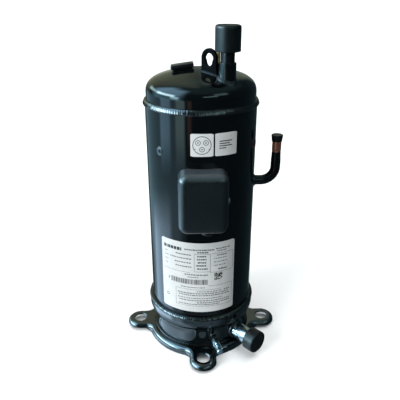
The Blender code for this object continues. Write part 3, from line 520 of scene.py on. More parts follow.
bowl = spline([(79.3, 13.5), (80.4, 20.0), (81.2, 32.0), (82.0, 42.0), (83.8, 49.0), (86.6, 54.5), (87.5, 60.0), (87.6, 68.0)], 4)
bowl = [(0.0, 2.0), (45.0, 2.3)] + spline([(62.0, 3.4), (72.5, 6.0), (77.6, 10.0), (79.3, 13.5)], 4)[:-1] + bowl
lathe("bowl_skin", bowl + [(82.9, 68.0), (82.9, 52.0), (78.8, 47.0), (76.8, 21.0), (71.0, 11.0), (52.0, 6.6), (0.0, 5.6)], ENAMEL_BASE, seg=160,
      replaces=["bottom_cap"], slot="black_enamel")


def dome_z(r):
    """Height of the dome's outside at radius r, mm."""
    pts = sorted((p for p in CROWN), key=lambda p: p[0])
    for (r0, z0), (r1, z1) in zip(pts, pts[1:]):
        if r0 <= r <= r1:
            return z0 + (z1 - z0) * (r - r0) / (r1 - r0)
    return pts[-1][1]


def bead(name, profile, replaces, turns, amp, seed, seg=960, matrix=None, body="casing", mat=None):
    """Circumferential weld: overlapping crescent ripples with uneven pitch and height."""
    cz = sum(p[1] for p in profile) / len(profile)
    cr = sum(p[0] for p in profile) / len(profile)

    def wobble(a, r, z):
        v = Vector((math.cos(a) * 9.0, math.sin(a) * 9.0, seed))
        phase = a * turns + 2.2 * noise.noise(v) + 0.35 * (z - cz)
        saw = phase / (2 * math.pi) % 1.0
        h = (saw ** 0.7 - 0.5) * amp + amp * 0.9 * noise.noise(v * 3.0) + amp * 0.5 * noise.noise(Vector((math.cos(a) * 60, math.sin(a) * 60, z * 0.3 + seed)))
        dr, dz = r - cr, z - cz
        length = math.hypot(dr, dz) or 1.0
        out = h if r > 82.0 or matrix is not None else 0.0
        drift = 0.35 * noise.noise(Vector((math.cos(a) * 2.5, math.sin(a) * 2.5, seed + 5)))
        return r + out * max(0.0, dr / length + 0.3), z + h * dz / length * 0.6 + drift

    return lathe(name, profile, mat or WELD, seg=seg, closed=True, wobble=wobble, replaces=replaces, slot="weld_black", matrix=matrix, body=body)


bead("upper_bead", fillet([(81.4, 398.2), (84.5, 397.7), (85.45, 399.7), (83.9, 403.5), (82.6, 405.5), (80.7, 406.2), (79.6, 401.0)], 0.9, 3, True), ["upper_weld_bead"], 150, 0.28, 1.0)
bead("lower_bead", fillet([(82.0, 68.1), (87.7, 67.9), (88.2, 70.2), (86.9, 72.3), (84.6, 73.5), (82.2, 73.9)], 0.8, 3, True), ["lower_weld_bead"], 160, 0.35, 4.0)


# ------------------------------------------------------------------ base plate
LUG_PCR, LUG_END_R, PLATE_R, PLATE_FILLET, LUG_HOLE_R = 107.5, 21.5, 91.0, 14.0, 10.25


def plate_outline():
    c_lat = LUG_END_R + PLATE_FILLET
    c_out = math.sqrt((PLATE_R + PLATE_FILLET) ** 2 - c_lat ** 2)
    a_circle = math.degrees(math.atan2(c_lat, c_out))
    half = []
    for i in range(10):
        a = math.radians(45 + (a_circle - 45) * i / 10)
        half.append((Vector((PLATE_R * math.sin(a), PLATE_R * math.cos(a))), Vector((math.sin(a), math.cos(a)))))
    start = math.atan2(-c_out, -c_lat)
    for i in range(13):
        a = start + (-math.pi - start) * i / 12
        n = Vector((math.cos(a), math.sin(a)))
        half.append((Vector((c_lat, c_out)) + n * PLATE_FILLET, -n))
    for i in range(3):
        half.append((Vector((LUG_END_R, c_out + (LUG_PCR - c_out) * (i + 1) / 4)), Vector((1.0, 0.0))))
    for i in range(21):
        a = math.radians(90.0 * i / 20)
        n = Vector((math.cos(a), math.sin(a)))
        half.append((Vector((0, LUG_PCR)) + n * LUG_END_R, n))
    other = [(Vector((-p.x, p.y)), Vector((-n.x, n.y))) for p, n in reversed(half[1:-1])]
    out = []
    for k in range(4):
        turn = Matrix.Rotation(math.radians(90 * k), 2)
        out += [(turn @ p, turn @ n) for p, n in half + other]
    return out


def base_plate():
    outline = plate_outline()
    verts, cols = [], []
    R = 6.4
    for p, n in outline:
        share = min(1.0, max(0.0, (p.length - 92.0) / 9.0))
        share = share * share * (3 - 2 * share)
        zb = 4.5 * share
        prof = [(0.4, zb), (0.0, zb + 0.6)]
        for i in range(7):
            a = math.radians(90 * i / 6)
            prof.append((R - R * math.cos(a), 13.0 - R + R * math.sin(a)))
        prof += [(6.0, 13.0)]
        pts = [(p.x - n.x * d, p.y - n.y * d, z) for d, z in prof]
        u = p.normalized()
        edge = Vector((p.x - n.x * 5.0, p.y - n.y * 5.0))
        pts += [(u.x * 80.9, u.y * 80.9, 13.0), (u.x * 79.95, u.y * 79.95, 12.3), (u.x * 79.95, u.y * 79.95, 10.0)]
        pts += [(edge.x - n.x * 1.0, edge.y - n.y * 1.0, 10.0)]
        pts += [(p.x - n.x * 3.2, p.y - n.y * 3.2, z) for z in (7.6, zb + 0.5)]
        pts += [(p.x - n.x * 2.6, p.y - n.y * 2.6, zb)]
        col = []
        for x, y, z in pts:
            verts.append((x * MM, y * MM, z * MM))
            col.append(len(verts) - 1)
        cols.append(col)
    faces = []
    for a, b in zip(cols, cols[1:] + cols[:1]):
        for k in range(len(a)):
            q = (k + 1) % len(a)
            faces.append((a[k], b[k], b[q], a[q]))
    o = finish_mesh("plate_skin", verts, faces, ENAMEL_BASE, replaces=["base_plate"], slot="black_enamel")
    for k in range(4):
        a = math.radians(90 * k)
        prof = [(0, -5), (LUG_HOLE_R + 0.15, -5), (LUG_HOLE_R, 12.1), (LUG_HOLE_R + 0.25, 12.6), (LUG_HOLE_R + 1.0, 13.2), (LUG_HOLE_R + 1.0, 20), (0, 20)]
        c = lathe("hole_cut_%d" % k, prof, None, seg=64, body=None, matrix=placed(LUG_PCR * math.cos(a), LUG_PCR * math.sin(a), 0, 1.3))
        c.hide_render = True
        m = o.modifiers.new("hole", "BOOLEAN")
        m.solver = "EXACT"
        m.operation = "DIFFERENCE"
        m.object = c
    bpy.context.view_layer.update()
    me = bpy.data.meshes.new_from_object(o.evaluated_get(bpy.context.evaluated_depsgraph_get()))
    o.modifiers.clear()
    old = o.data
    o.data = me
    me.name = "plate_skin"
    me.materials.clear()
    me.materials.append(ENAMEL_BASE)
    me.shade_smooth()
    me.set_sharp_from_angle(angle=math.radians(35))
    for c in [c for c in bpy.data.objects if c.name.startswith("hole_cut_")]:
        bpy.data.objects.remove(c)
    bpy.data.meshes.remove(old)
    return o


base_plate()

# plate-to-bowl fillet weld, all the way round
bead("plate_fillet_weld", fillet([(79.2, 12.6), (82.2, 12.9), (82.0, 14.6), (80.4, 16.4), (79.3, 16.0)], 0.6, 2, True), [], 190, 0.25, 9.0, seg=640, matrix=Matrix.Identity(4), mat=WELD_DULL)

# ------------------------------------------------------------------ top fittings
SX, SY = 34.0, -46.0
boss_foot = min(dome_z(math.hypot(SX, SY) + 12), dome_z(math.hypot(SX, SY)))
lathe("suction_collar", fillet([(9.9, 434.5), (11.9, 434.5), (11.9, 460.9), (11.5, 461.3), (9.9, 461.3)], [0, 0, 0.7, 0.3, 0.2], 4, True), ENAMEL_FIT, seg=64, closed=True,
      matrix=placed(SX, SY), replaces=["suction_boss"], slot="black_enamel")
lathe("suction_pipe", fillet([(8.3, 393.4), (9.525, 393.4), (9.525, 499.9), (8.3, 499.9)], [0, 0, 0.3, 0.3], 3, True), COPPER_DARK, seg=64, closed=True, matrix=placed(SX, SY),
      replaces=["suction_tube"], slot="copper")
plug = fillet([(9.9, 502.4), (9.9, 475.5), (16.7, 475.5), (17.3, 476.6), (17.3, 505.6), (16.7, 508.0), (14.9, 509.0), (13.6, 508.9), (13.0, 508.1), (0.0, 508.1)],
              [0.2, 0.4, 0.8, 0.8, 1.4, 1.6, 0.9, 0.5, 0.6, 0], 4)
lathe("suction_stopper", [(0.0, 502.4)] + plug, RUBBER, seg=96, matrix=placed(SX, SY), body="suction_plug", replaces=["suction_plug"], slot="black_rubber")


def fillet_ring(name, cx, cy, r_in, width, height, surface, seed, seg=240, body="casing"):
    """Small weld fillet round an upright stub that stands on the dome: follows the dome's slope."""
    rings = []
    m = 8
    for k in range(seg):
        a = 2 * math.pi * k / seg
        ca, sa = math.cos(a), math.sin(a)
        v = Vector((ca * 3, sa * 3, seed))
        ripple = 0.16 * math.sin(a * 34 + 3 * noise.noise(v)) + 0.5 * noise.noise(v * 2.2)
        ring = []
        for i in range(m + 1):
            t = i / m
            rr = r_in + (width + 0.5 * ripple) * t
            x, y = cx + rr * ca, cy + rr * sa
            base = surface(math.hypot(x, y))
            bulge = (1 - t) ** 1.25 * (height + ripple) + 0.35 * math.sin(math.pi * t)
            ring.append((x, y, base + bulge - 0.25 * t))
        x, y = cx + (r_in + width) * ca, cy + (r_in + width) * sa
        ring.append((x, y, surface(math.hypot(x, y)) - 1.0))
        x, y = cx + (r_in - 0.3) * ca, cy + (r_in - 0.3) * sa
        ring.append((x, y, surface(math.hypot(x, y)) - 1.0))
        rings.append(ring)
    return loft(name, rings, WELD, closed=True, slot="weld_black", body=body)


fillet_ring("suction_weld", SX, SY, 11.7, 4.2, 3.4, dome_z, 2.0)
CX, CY = 22.0, -10.8
lathe("charge_stub", fillet([(1.6, 442.0), (4.0, 442.0), (4.0, 447.4), (6.0, 448.0), (6.0, 454.6), (5.2, 455.2), (3.9, 455.3), (3.85, 463.0), (1.6, 463.0)],
                            [0, 0, 0.4, 0.5, 0.4, 0.3, 0.2, 0.3, 0.2], 3, True), ENAMEL_FIT, seg=48, closed=True, matrix=placed(CX, CY), replaces=["charge_port"], slot="black_enamel")
lathe("charge_cap_skin", [(0.0, 464.0)] + fillet([(4.15, 464.0), (4.15, 455.6), (4.75, 455.6), (4.75, 469.4), (4.1, 471.0), (0.0, 471.0)], [0.1, 0.2, 0.2, 0.9, 0.9, 0], 4), BRASS, seg=48,
      matrix=placed(CX, CY), body="charge_cap", replaces=["charge_port_cap"], slot="brass")
fillet_ring("charge_weld", CX, CY, 3.9, 2.4, 1.6, dome_z, 5.0, seg=120)

# lifting eye: a flat loop with rounded edges, upright on the dome
EX, EY, ETURN = 10.7, -30.9, -42.0
EYE_TOP, EYE_HALF = 478.0, 13.4


def lifting_eye():
    c = EYE_TOP - EYE_HALF
    outer = [(14.8, 441.0), (14.8, 446.0)] + fillet([(14.8, 446.0), (13.4, 451.0), (EYE_HALF, c)], [0, 6, 0], 4)[1:]
    for i in range(1, 33):
        a = math.pi * i / 32
        outer.append((EYE_HALF * math.cos(a), c + EYE_HALF * math.sin(a)))
    outer += [(-13.4, 451.0), (-14.0, 448.2), (-14.8, 446.0), (-14.8, 441.0)]
    centre = Vector((0.0, 462.3))
    hole = []
    for i in range(24):
        a = math.pi * i / 23
        hole.append(Vector((7.3 * math.cos(a), 464.3 + 7.3 * math.sin(a))))
    for i in range(24):
        a = math.pi + math.pi * i / 23
        hole.append(Vector((5.6 * math.cos(a), 460.9 + 6.4 * math.sin(a))))
    # resample both loops by angle about the slot's middle
    n = 96

    def hit(loop, ang):
        d = Vector((math.cos(ang), math.sin(ang)))
        best = None
        for p, q in zip(loop, loop[1:] + loop[:1]):
            p, q = Vector(p) - centre, Vector(q) - centre
            e = q - p
            den = d.x * e.y - d.y * e.x
            if abs(den) < 1e-9:
                continue
            t = (p.x * e.y - p.y * e.x) / den
            s = (p.x * d.y - p.y * d.x) / den
            if t > 0 and -1e-6 <= s <= 1 + 1e-6:
                best = t if best is None else max(best, t)
        return centre + d * best

    angs = [2 * math.pi * k / n for k in range(n)]
    o_pts = [hit(outer, a) for a in angs]
    h_pts = [hit(hole, a) for a in angs]
    rings = []
    half, e = 2.3, 1.1
    steps = [0, 30, 60, 90]

    def ring_at(src, inward, sign, w):
        out = []
        for p in src:
            d = (p - centre).normalized() * sign
            q = p + d * inward
            out.append((q.x, q.y, w))
        return out

    for s in steps:  # outer front edge
        a = math.radians(s)
        rings.append(ring_at(o_pts, -(e - e * math.sin(a)), 1, half - e + e * math.cos(a)))
    for s in reversed(steps):
        a = math.radians(s)
        rings.append(ring_at(o_pts, -(e - e * math.sin(a)), 1, -(half - e + e * math.cos(a))))
    for s in steps:
        a = math.radians(s)
        rings.append(ring_at(h_pts, (e - e * math.sin(a)), 1, -(half - e + e * math.cos(a))))
    for s in reversed(steps):
        a = math.radians(s)
        rings.append(ring_at(h_pts, (e - e * math.sin(a)), 1, half - e + e * math.cos(a)))
    m = Matrix.Translation((EX * MM, EY * MM, 0)) @ Matrix.Rotation(math.radians(ETURN), 4, "Z") @ Matrix.Rotation(math.radians(90), 4, "X")
    return loft("lifting_loop", rings, EYE_PAINT, closed=True, matrix=m, replaces=["lifting_eye"], slot="black_enamel")


lifting_eye()


def eye_weld():
    """Fillet weld along both faces of the eye's foot."""
    ca, sa = math.cos(math.radians(ETURN)), math.sin(math.radians(ETURN))
    n = 150
    rings = []
    for k in range(n):
        t = 2 * math.pi * k / n
        # stadium round the foot
        u = max(-1.0, min(1.0, 1.35 * math.cos(t))) * 14.6
        w = math.sin(t) * 2.4
        du, dw = math.cos(t), math.sin(t) * 1.6
        ln = math.hypot(du, dw)
        du, dw = du / ln, dw / ln
        rip = 0.3 * math.sin(t * 40) + 0.5 * noise.noise(Vector((math.cos(t) * 3, math.sin(t) * 3, 8.0)))
        ring = []
        for i in range(7):
            s = i / 6
            uu, ww = u + du * (3.0 + 0.4 * rip) * s, w + dw * (3.0 + 0.4 * rip) * s
            x, y = EX + uu * ca + ww * sa, EY + uu * sa - ww * ca
            ring.append((x, y, dome_z(math.hypot(x, y)) + (1 - s) ** 1.2 * (2.4 + 0.5 * rip) + 0.25 * math.sin(math.pi * s) - 0.2 * s))
        for s in (1.0, 0.0):
            uu, ww = u + du * 3.0 * s, w + dw * 3.0 * s
            x, y = EX + uu * ca + ww * sa, EY + uu * sa - ww * ca
            ring.append((x, y, dome_z(math.hypot(x, y)) - 1.0))
        rings.append(ring)
    return loft("eye_weld", rings, WELD_DULL, closed=True, slot="weld_black")


eye_weld()

# thermostat on its spot-welded strip
TH = Matrix.Translation((-26.3 * MM, 0, 445.9 * MM)) @ Matrix.Rotation(math.radians(-7.9), 4, "Y")


def slab(name, w, h, r, z0, z1, edge, mat, matrix, body="casing", replaces=(), slot=None, crown=0.0, foot=0.0):
    """Rounded plate with softened edges, top and bottom."""
    rings = []
    for a in (90, 60, 30, 0):
        t = math.radians(a)
        inset = edge * (1 - math.cos(t))
        rings.append([(x, y, z0 + edge * 0.6 * (1 - math.sin(t))) for x, y in rounded_rect(w - 2 * inset + foot, h - 2 * inset + foot, max(r - inset, 0.3), 6)])
    for a in (0, 22, 45, 67, 90):
        t = math.radians(a)
        inset = edge * (1 - math.cos(t))
        rings.append([(x, y, z1 - edge + edge * math.sin(t)) for x, y in rounded_rect(w - 2 * inset, h - 2 * inset, max(r - inset, 0.3), 6)])
    if crown:
        rings.append([(x, y, z1 + crown) for x, y in rounded_rect((w - 2 * edge) * 0.5, (h - 2 * edge) * 0.5, max((r - edge) * 0.5, 0.2), 6)])
    return loft(name, rings, mat, matrix=matrix, body=body, replaces=list(replaces), slot=slot)


slab("thermostat_strip", 29.0, 17.0, 2.0, -2.6, 1.4, 0.4, ENAMEL_FIT, TH, replaces=["thermostat_bracket"], slot="black_enamel")
slab("thermostat_lid", 33.0, 22.0, 2.5, 1.75, 7.4, 1.3, RUBBER_THERMO, TH, body="thermostat_cover", replaces=["thermostat_cover"], slot="black_rubber")

# ------------------------------------------------------------------ discharge line
DZ, DX, BR = 274.0, 116.0, 22.0
path = [(79.5, DZ), (84.0, DZ), (89.0, DZ)]
for i in range(19):
    a = math.radians(-90 + 90 * i / 18)
    path.append((DX - BR + BR * math.cos(a), DZ + BR + BR * math.sin(a)))
path += [(DX, 300.0), (DX, 304.0), (DX, 307.5), (DX, 310.0), (DX, 312.0), (DX, 314.0), (DX, 317.0), (DX, 320.3), (DX, 320.6)]
radius = [7.6] * (len(path) - 9) + [7.6, 7.6, 7.6, 7.5, 7.3, 7.05, 7.0, 7.0, 6.85]
sweep("discharge_bend", [(x, 0.0, z) for x, z in path], radius, [6.7] * len(path), ENAMEL_FIT, seg=48, replaces=["discharge_sleeve"], slot="black_enamel")
lathe("discharge_socket", fillet([(5.5, 300.0), (6.35, 300.0), (6.35, 320.5), (7.15, 322.8), (7.15, 341.6), (6.45, 341.6), (6.45, 323.5), (5.5, 321.5)],
                                 [0, 0, 1.0, 1.4, 0.25, 0.25, 1, 1], 4, True), COPPER, seg=48, closed=True, matrix=placed(DX, 0), replaces=["discharge_tube"], slot="copper")
lathe("discharge_stopper", [(0.0, 343.9)] + fillet([(7.5, 343.9), (7.5, 337.6), (8.0, 337.6), (8.2, 340.0), (8.9, 345.8), (8.75, 347.2), (7.9, 347.6), (6.9, 347.3), (0.0, 347.1)],
                                                   [0.2, 0.2, 0.3, 2.0, 0.6, 0.5, 0.4, 0.4, 0], 4), RUBBER, seg=48, matrix=placed(DX, 0), body="discharge_plug", replaces=["discharge_plug"],
      slot="black_rubber")
lathe("discharge_weld", fillet([(7.4, 81.6), (10.6, 81.8), (10.2, 83.2), (8.6, 84.4), (7.4, 85.4)], 0.5, 2, True), WELD, seg=120, closed=True, matrix=radial(90, DZ), slot="weld_black",
      wobble=lambda a, r, z: (r + (0.35 * noise.noise(Vector((math.cos(a) * 5, math.sin(a) * 5, 1.0))) if r > 8 else 0.0), z + (0.25 * math.sin(a * 22) if z > 82 else 0.0)))

# ------------------------------------------------------------------ terminal cover
CW, CH, CZ, CF, CWALL = 70.0, 89.0, 279.5, 112.0, 2.2
CABLE_X, CABLE_Y = 6.0, -93.6


def terminal_cover():
    edge = 10.0
    n = 10

    def ring(inset, depth, wrap=False):
        r = max(13.0 - inset, 1.5)
        out = []
        corners = rounded_rect(CW - 2 * inset, CH - 2 * inset, r, n)
        loop = []
        for (x0, z0), (x1, z1) in zip(corners, corners[1:] + corners[:1]):
            # long straight sides are divided, so that the back edge can follow the shell
            steps = 12 if math.hypot(x1 - x0, z1 - z0) > 12 else 1
            loop += [(x0 + (x1 - x0) * k / steps, z0 + (z1 - z0) * k / steps) for k in range(steps)]
        for x, z in loop:
            y = depth
            if wrap:  # the back edge follows the shell
                y = math.sqrt(max(84.65 ** 2 - x * x, 0.0)) + wrap
            out.append((x, -y, CZ + z))
        return out

    outer = [ring(0.35, 0, 0.05), ring(0.0, 0, 0.5), ring(0.0, 0, 4.0)]
    outer += [ring(0.0, d) for d in (92.0, 97.0)]
    outer += [ring(edge * (1 - math.cos(math.radians(a))), CF - edge + edge * math.sin(math.radians(a))) for a in range(0, 91, 9)]
    w = CWALL
    inner = [ring(w + (edge - w) * (1 - math.cos(math.radians(a))), CF - edge + (edge - w) * math.sin(math.radians(a))) for a in (90, 60, 30, 0)]
    inner += [ring(w, 92.0), ring(w, 0, 4.0), ring(w, 0, 0.3), ring(w - 0.6, 0, 0.05)]
    verts, idx = [], []
    for rg in outer + inner:
        idx.append([])
        for p in rg:
            verts.append(Vector(p) * MM)
            idx[-1].append(len(verts) - 1)
    faces = []
    k_out = len(outer)
    for i in range(len(idx) - 1):
        if i == k_out - 1:
            continue
        a, b = idx[i], idx[i + 1]
        for k in range(len(a)):
            q = (k + 1) % len(a)
            faces.append((a[k], a[q], b[q], b[k]))
    a, b = idx[-1], idx[0]
    for k in range(len(a)):
        q = (k + 1) % len(a)
        faces.append((a[k], a[q], b[q], b[k]))
    faces.append(tuple(idx[k_out - 1]))
    faces.append(tuple(reversed(idx[k_out])))
    o = finish_mesh("cover_pressing", verts, faces, COVER_PAINT, body="terminal_cover", replaces=["terminal_cover"], slot="black_enamel", smooth=30.0)
    cutters = [lathe("cut_a", [(0, 225), (7.7, 225), (7.7, 242), (0, 242)], None, seg=40, body=None, matrix=placed(CABLE_X, CABLE_Y)),
               lathe("cut_b", [(0, 25), (2.4, 25), (2.4, 45), (0, 45)], None, seg=24, body=None, matrix=Matrix.Translation((0, -90.0 * MM, CZ * MM)) @ Matrix.Rotation(math.radians(90), 4, "Y"))]
    for c in cutters:
        c.hide_render = True
        m = o.modifiers.new("hole", "BOOLEAN")
        m.solver = "EXACT"
        m.object = c
    bpy.context.view_layer.update()
    me = bpy.data.meshes.new_from_object(o.evaluated_get(bpy.context.evaluated_depsgraph_get()))
    o.modifiers.clear()
    o.data = me
    me.materials.clear()
    me.materials.append(COVER_PAINT)
    me.shade_smooth()
    me.set_sharp_from_angle(angle=math.radians(30))
    for c in cutters:
        bpy.data.objects.remove(c)
    return o


terminal_cover()
lathe("grommet_skin", fillet([(4.8, 229.4), (8.2, 229.4), (9.1, 230.6), (9.1, 234.6), (7.3, 234.6), (7.3, 237.6), (9.1, 237.6), (8.6, 239.8), (4.8, 239.8)], [0.6, 0.8, 0.8, 0.4, 0.2, 0.2, 0.4, 0.6, 0.5], 3, True),
      RUBBER, seg=48, closed=True, matrix=placed(CABLE_X, CABLE_Y), body="terminal_cover", replaces=["cable_grommet"], slot="black_rubber")
SIDE = Matrix.Translation((0, -90.0 * MM, CZ * MM)) @ Matrix.Rotation(math.radians(90), 4, "Y")


def screw_head():
    """Pan head with a cross recess, on a plain shank."""
    o = lathe("cover_screw_skin", fillet([(0, 29.4), (2.0, 29.4), (2.0, 35.4), (4.6, 35.4), (4.6, 36.4), (3.6, 38.0), (0, 38.4)], [0, 0.4, 0.1, 0.2, 0.6, 1.0, 0], 4), ZINC, seg=48, matrix=SIDE,
              body="cover_screw", replaces=["cover_screw"], slot="zinc_plate")
    for turn in (0, 90):
        bm = bmesh.new()
        bmesh.ops.create_cube(bm, size=1.0)
        bmesh.ops.scale(bm, vec=(3.9 * MM, 0.95 * MM, 1.3 * MM), verts=bm.verts)
        me = bpy.data.meshes.new("recess")
        bm.to_mesh(me)
        bm.free()
        c = bpy.data.objects.new("recess_%d" % turn, me)
        bpy.context.scene.collection.objects.link(c)
        c.matrix_world = SIDE @ Matrix.Translation((0, 0, 38.5 * MM)) @ Matrix.Rotation(math.radians(turn + 18), 4, "Z")
        c.hide_render = True
        m = o.modifiers.new("recess", "BOOLEAN")
        m.object = c
        bpy.context.view_layer.update()
    me = bpy.data.meshes.new_from_object(o.evaluated_get(bpy.context.evaluated_depsgraph_get()))
    o.modifiers.clear()
    o.data = me
    me.materials.clear()
    me.materials.append(ZINC)
    me.shade_smooth()
    me.set_sharp_from_angle(angle=math.radians(30))
    for c in [c for c in bpy.data.objects if c.name.startswith("recess_")]:
        bpy.data.objects.remove(c)


screw_head()

# ------------------------------------------------------------------ oil fittings
OIL = radial(43.0, 30.0)
VALVE = radial(12.5, 33.0)
lathe("oil_stub", fillet([(10.0, 77.5), (13.0, 77.5), (13.0, 121.4), (12.4, 122.0), (10.0, 122.0)], [0, 0, 0.5, 0.4, 0.3], 3, True), ZINC, seg=72, closed=True, matrix=OIL, replaces=["oil_port_stub"],
      slot="zinc_plate")
lathe("oil_cap_skin", [(0.0, 124.4)] + fillet([(13.4, 124.4), (13.4, 111.0), (17.2, 111.0), (18.0, 112.2), (18.0, 127.6), (17.2, 129.6), (15.4, 130.0), (14.6, 129.4), (0.0, 129.2)],
                                              [0.3, 0.4, 0.8, 0.8, 1.5, 1.2, 0.5, 0.6, 0], 4), RUBBER_CAP, seg=72, matrix=OIL, body="oil_cap", replaces=["oil_port_cap"], slot="black_rubber")
lathe("oil_port_weld", fillet([(12.8, 80.0), (16.2, 80.4), (15.6, 82.6), (14.2, 84.6), (12.8, 85.8)], 0.6, 2, True), WELD, seg=160, closed=True, matrix=OIL, slot="weld_black",
      wobble=lambda a, r, z: (r + (0.5 * noise.noise(Vector((math.cos(a) * 5, math.sin(a) * 5, 3.0))) if r > 13 else 0.0),
                              z + (0.3 * math.sin(a * 30) if z > 81 else 0.0) - (0.9 * abs(math.cos(a)) if r > 15 else 0.0)))


def hexagon_body():
    rings = []
    n = 72
    R6 = 11.0 / math.sqrt(3)

    def hexr(a):
        q = (a % (math.pi / 3)) - math.pi / 6
        return (11.0 / 2) / math.cos(q)

    def ring(z, cap):
        return [(min(hexr(2 * math.pi * k / n), cap) * math.cos(2 * math.pi * k / n), min(hexr(2 * math.pi * k / n), cap) * math.sin(2 * math.pi * k / n), z) for k in range(n)]

    def circ(z, r):
        return [(r * math.cos(2 * math.pi * k / n), r * math.sin(2 * math.pi * k / n), z) for k in range(n)]

    rings = [circ(98.4, 1.6), circ(98.4, 3.5), circ(92.0, 3.5), ring(92.0, 5.5), ring(93.2, 6.4), ring(105.8, 6.4), ring(107.0, 5.5), circ(107.0, 3.7)]
    z = 107.4
    while z < 115.3:  # thread
        rings += [circ(z, 3.3), circ(z + 0.45, 3.75), circ(z + 0.9, 3.3)]
        z += 1.0
    rings += [circ(116.0, 3.1), circ(116.0, 1.6)]
    return loft("oil_valve_hex", rings, ZINC, closed=True, matrix=VALVE, replaces=["oil_valve_body"], slot="zinc_plate", smooth=25.0)


hexagon_body()


def knurl(a, r, z):
    if 109.6 < z < 119.4 and r > 4.6:
        return r + 0.16 * (math.sin(a * 30) > 0), z
    return r, z


cap_prof = [(0.0, 116.5)] + fillet([(3.95, 116.5), (3.95, 108.0), (5.0, 108.0), (5.0, 109.5)], [0.1, 0.2, 0.3, 0], 3) + [(4.86, 109.8), (4.86, 119.2), (5.0, 119.5)] + \
    fillet([(5.0, 119.6), (5.0, 121.0), (4.2, 122.0), (0.0, 122.0)], [0, 0.5, 0.6, 0], 3)
lathe("oil_valve_cap_skin", cap_prof, ZINC, seg=120, matrix=VALVE, wobble=knurl, body="oil_valve_cap", replaces=["oil_valve_cap"], slot="zinc_plate")
lathe("oil_valve_weld", fillet([(3.1, 78.6), (5.6, 79.4), (5.0, 82.0), (3.1, 84.0)], 0.5, 2, True), WELD, seg=72, closed=True, matrix=VALVE, slot="weld_black")

# ------------------------------------------------------------------ plug welds round the shell
SPOT = [(0.0, 82.2), (1.6, 82.25), (3.6, 82.75), (4.9, 83.1), (5.8, 82.9), (6.6, 82.3), (6.9, 81.6), (0.0, 81.6)]


def spot(name, az, z, seed, lift=0.0):
    lathe(name, [(r, q + lift) for r, q in fillet(SPOT, 0.5, 3)], WELD, seg=72, matrix=radial(az, z), slot="weld_black",
          wobble=lambda a, r, q: (r * (1 + 0.09 * noise.noise(Vector((math.cos(a) * 1.5, math.sin(a) * 1.5, seed)))),
                                  q + 0.12 * noise.noise(Vector((math.cos(a) * r, math.sin(a) * r, seed)))))


for i, (az, z) in enumerate(((-47.1, 342.0), (72.9, 342.0), (-167.1, 342.0), (126.0, 79.5), (66.0, 79.5), (-144.0, 79.5))):
    spot("plug_weld_%d" % (i + 1), az, z, i * 3.0)

# ------------------------------------------------------------------ labels


def patch(name, az0, az1, z0, z1, r0, r1, mat, step=2.0, corner=0.0, replaces=(), slot=None):
    """Thin curved sheet on the shell between two azimuths, with rounded corners."""
    w = math.radians(az1 - az0) * SHELL_R
    h = z1 - z0
    ca, cz = (az0 + az1) / 2, (z0 + z1) / 2
    nx = max(1, int(abs(az1 - az0) / step))
    cols = []
    for i in range(nx + 1):
        x = -w / 2 + w * i / nx
        cut = 0.0
        edge = w / 2 - abs(x)
        if corner and edge < corner:
            cut = corner - math.sqrt(max(corner ** 2 - (corner - edge) ** 2, 0.0))
        cols.append((ca + math.degrees(x / SHELL_R), cz - h / 2 + cut, cz + h / 2 - cut))
    verts, idx = [], []
    for az, a, b in cols:
        t = math.radians(az)
        idx.append([])
        for r, z in ((r0, a), (r1, a), (r1, b), (r0, b)):
            verts.append((r * MM * math.sin(t), -r * MM * math.cos(t), z * MM))
            idx[-1].append(len(verts) - 1)
    faces = []
    for a, b in zip(idx, idx[1:]):
        for k in range(4):
            faces.append((a[k], b[k], b[(k + 1) % 4], a[(k + 1) % 4]))
    faces.append(tuple(idx[0]))
    faces.append(tuple(reversed(idx[-1])))
    return finish_mesh(name, verts, faces, mat, replaces=list(replaces), slot=slot, smooth=30.0)


NP = (-48.0, 35.7, 83.6, 206.9)
S1 = (-11.9, 9.9, 341.9, 374.0)
S2 = (11.5, 34.4, 341.9, 374.0)
patch("name_plate_sheet", *NP, 82.52, 83.0, LABEL, corner=2.0, replaces=["name_plate"], slot="label_stock")
patch("wiring_sheet", *S1, 82.52, 82.95, LABEL, corner=1.0, replaces=["wiring_sticker"], slot="label_stock")
patch("approval_sheet", *S2, 82.52, 82.95, LABEL, corner=1.0, replaces=["approval_sticker"], slot="label_stock")


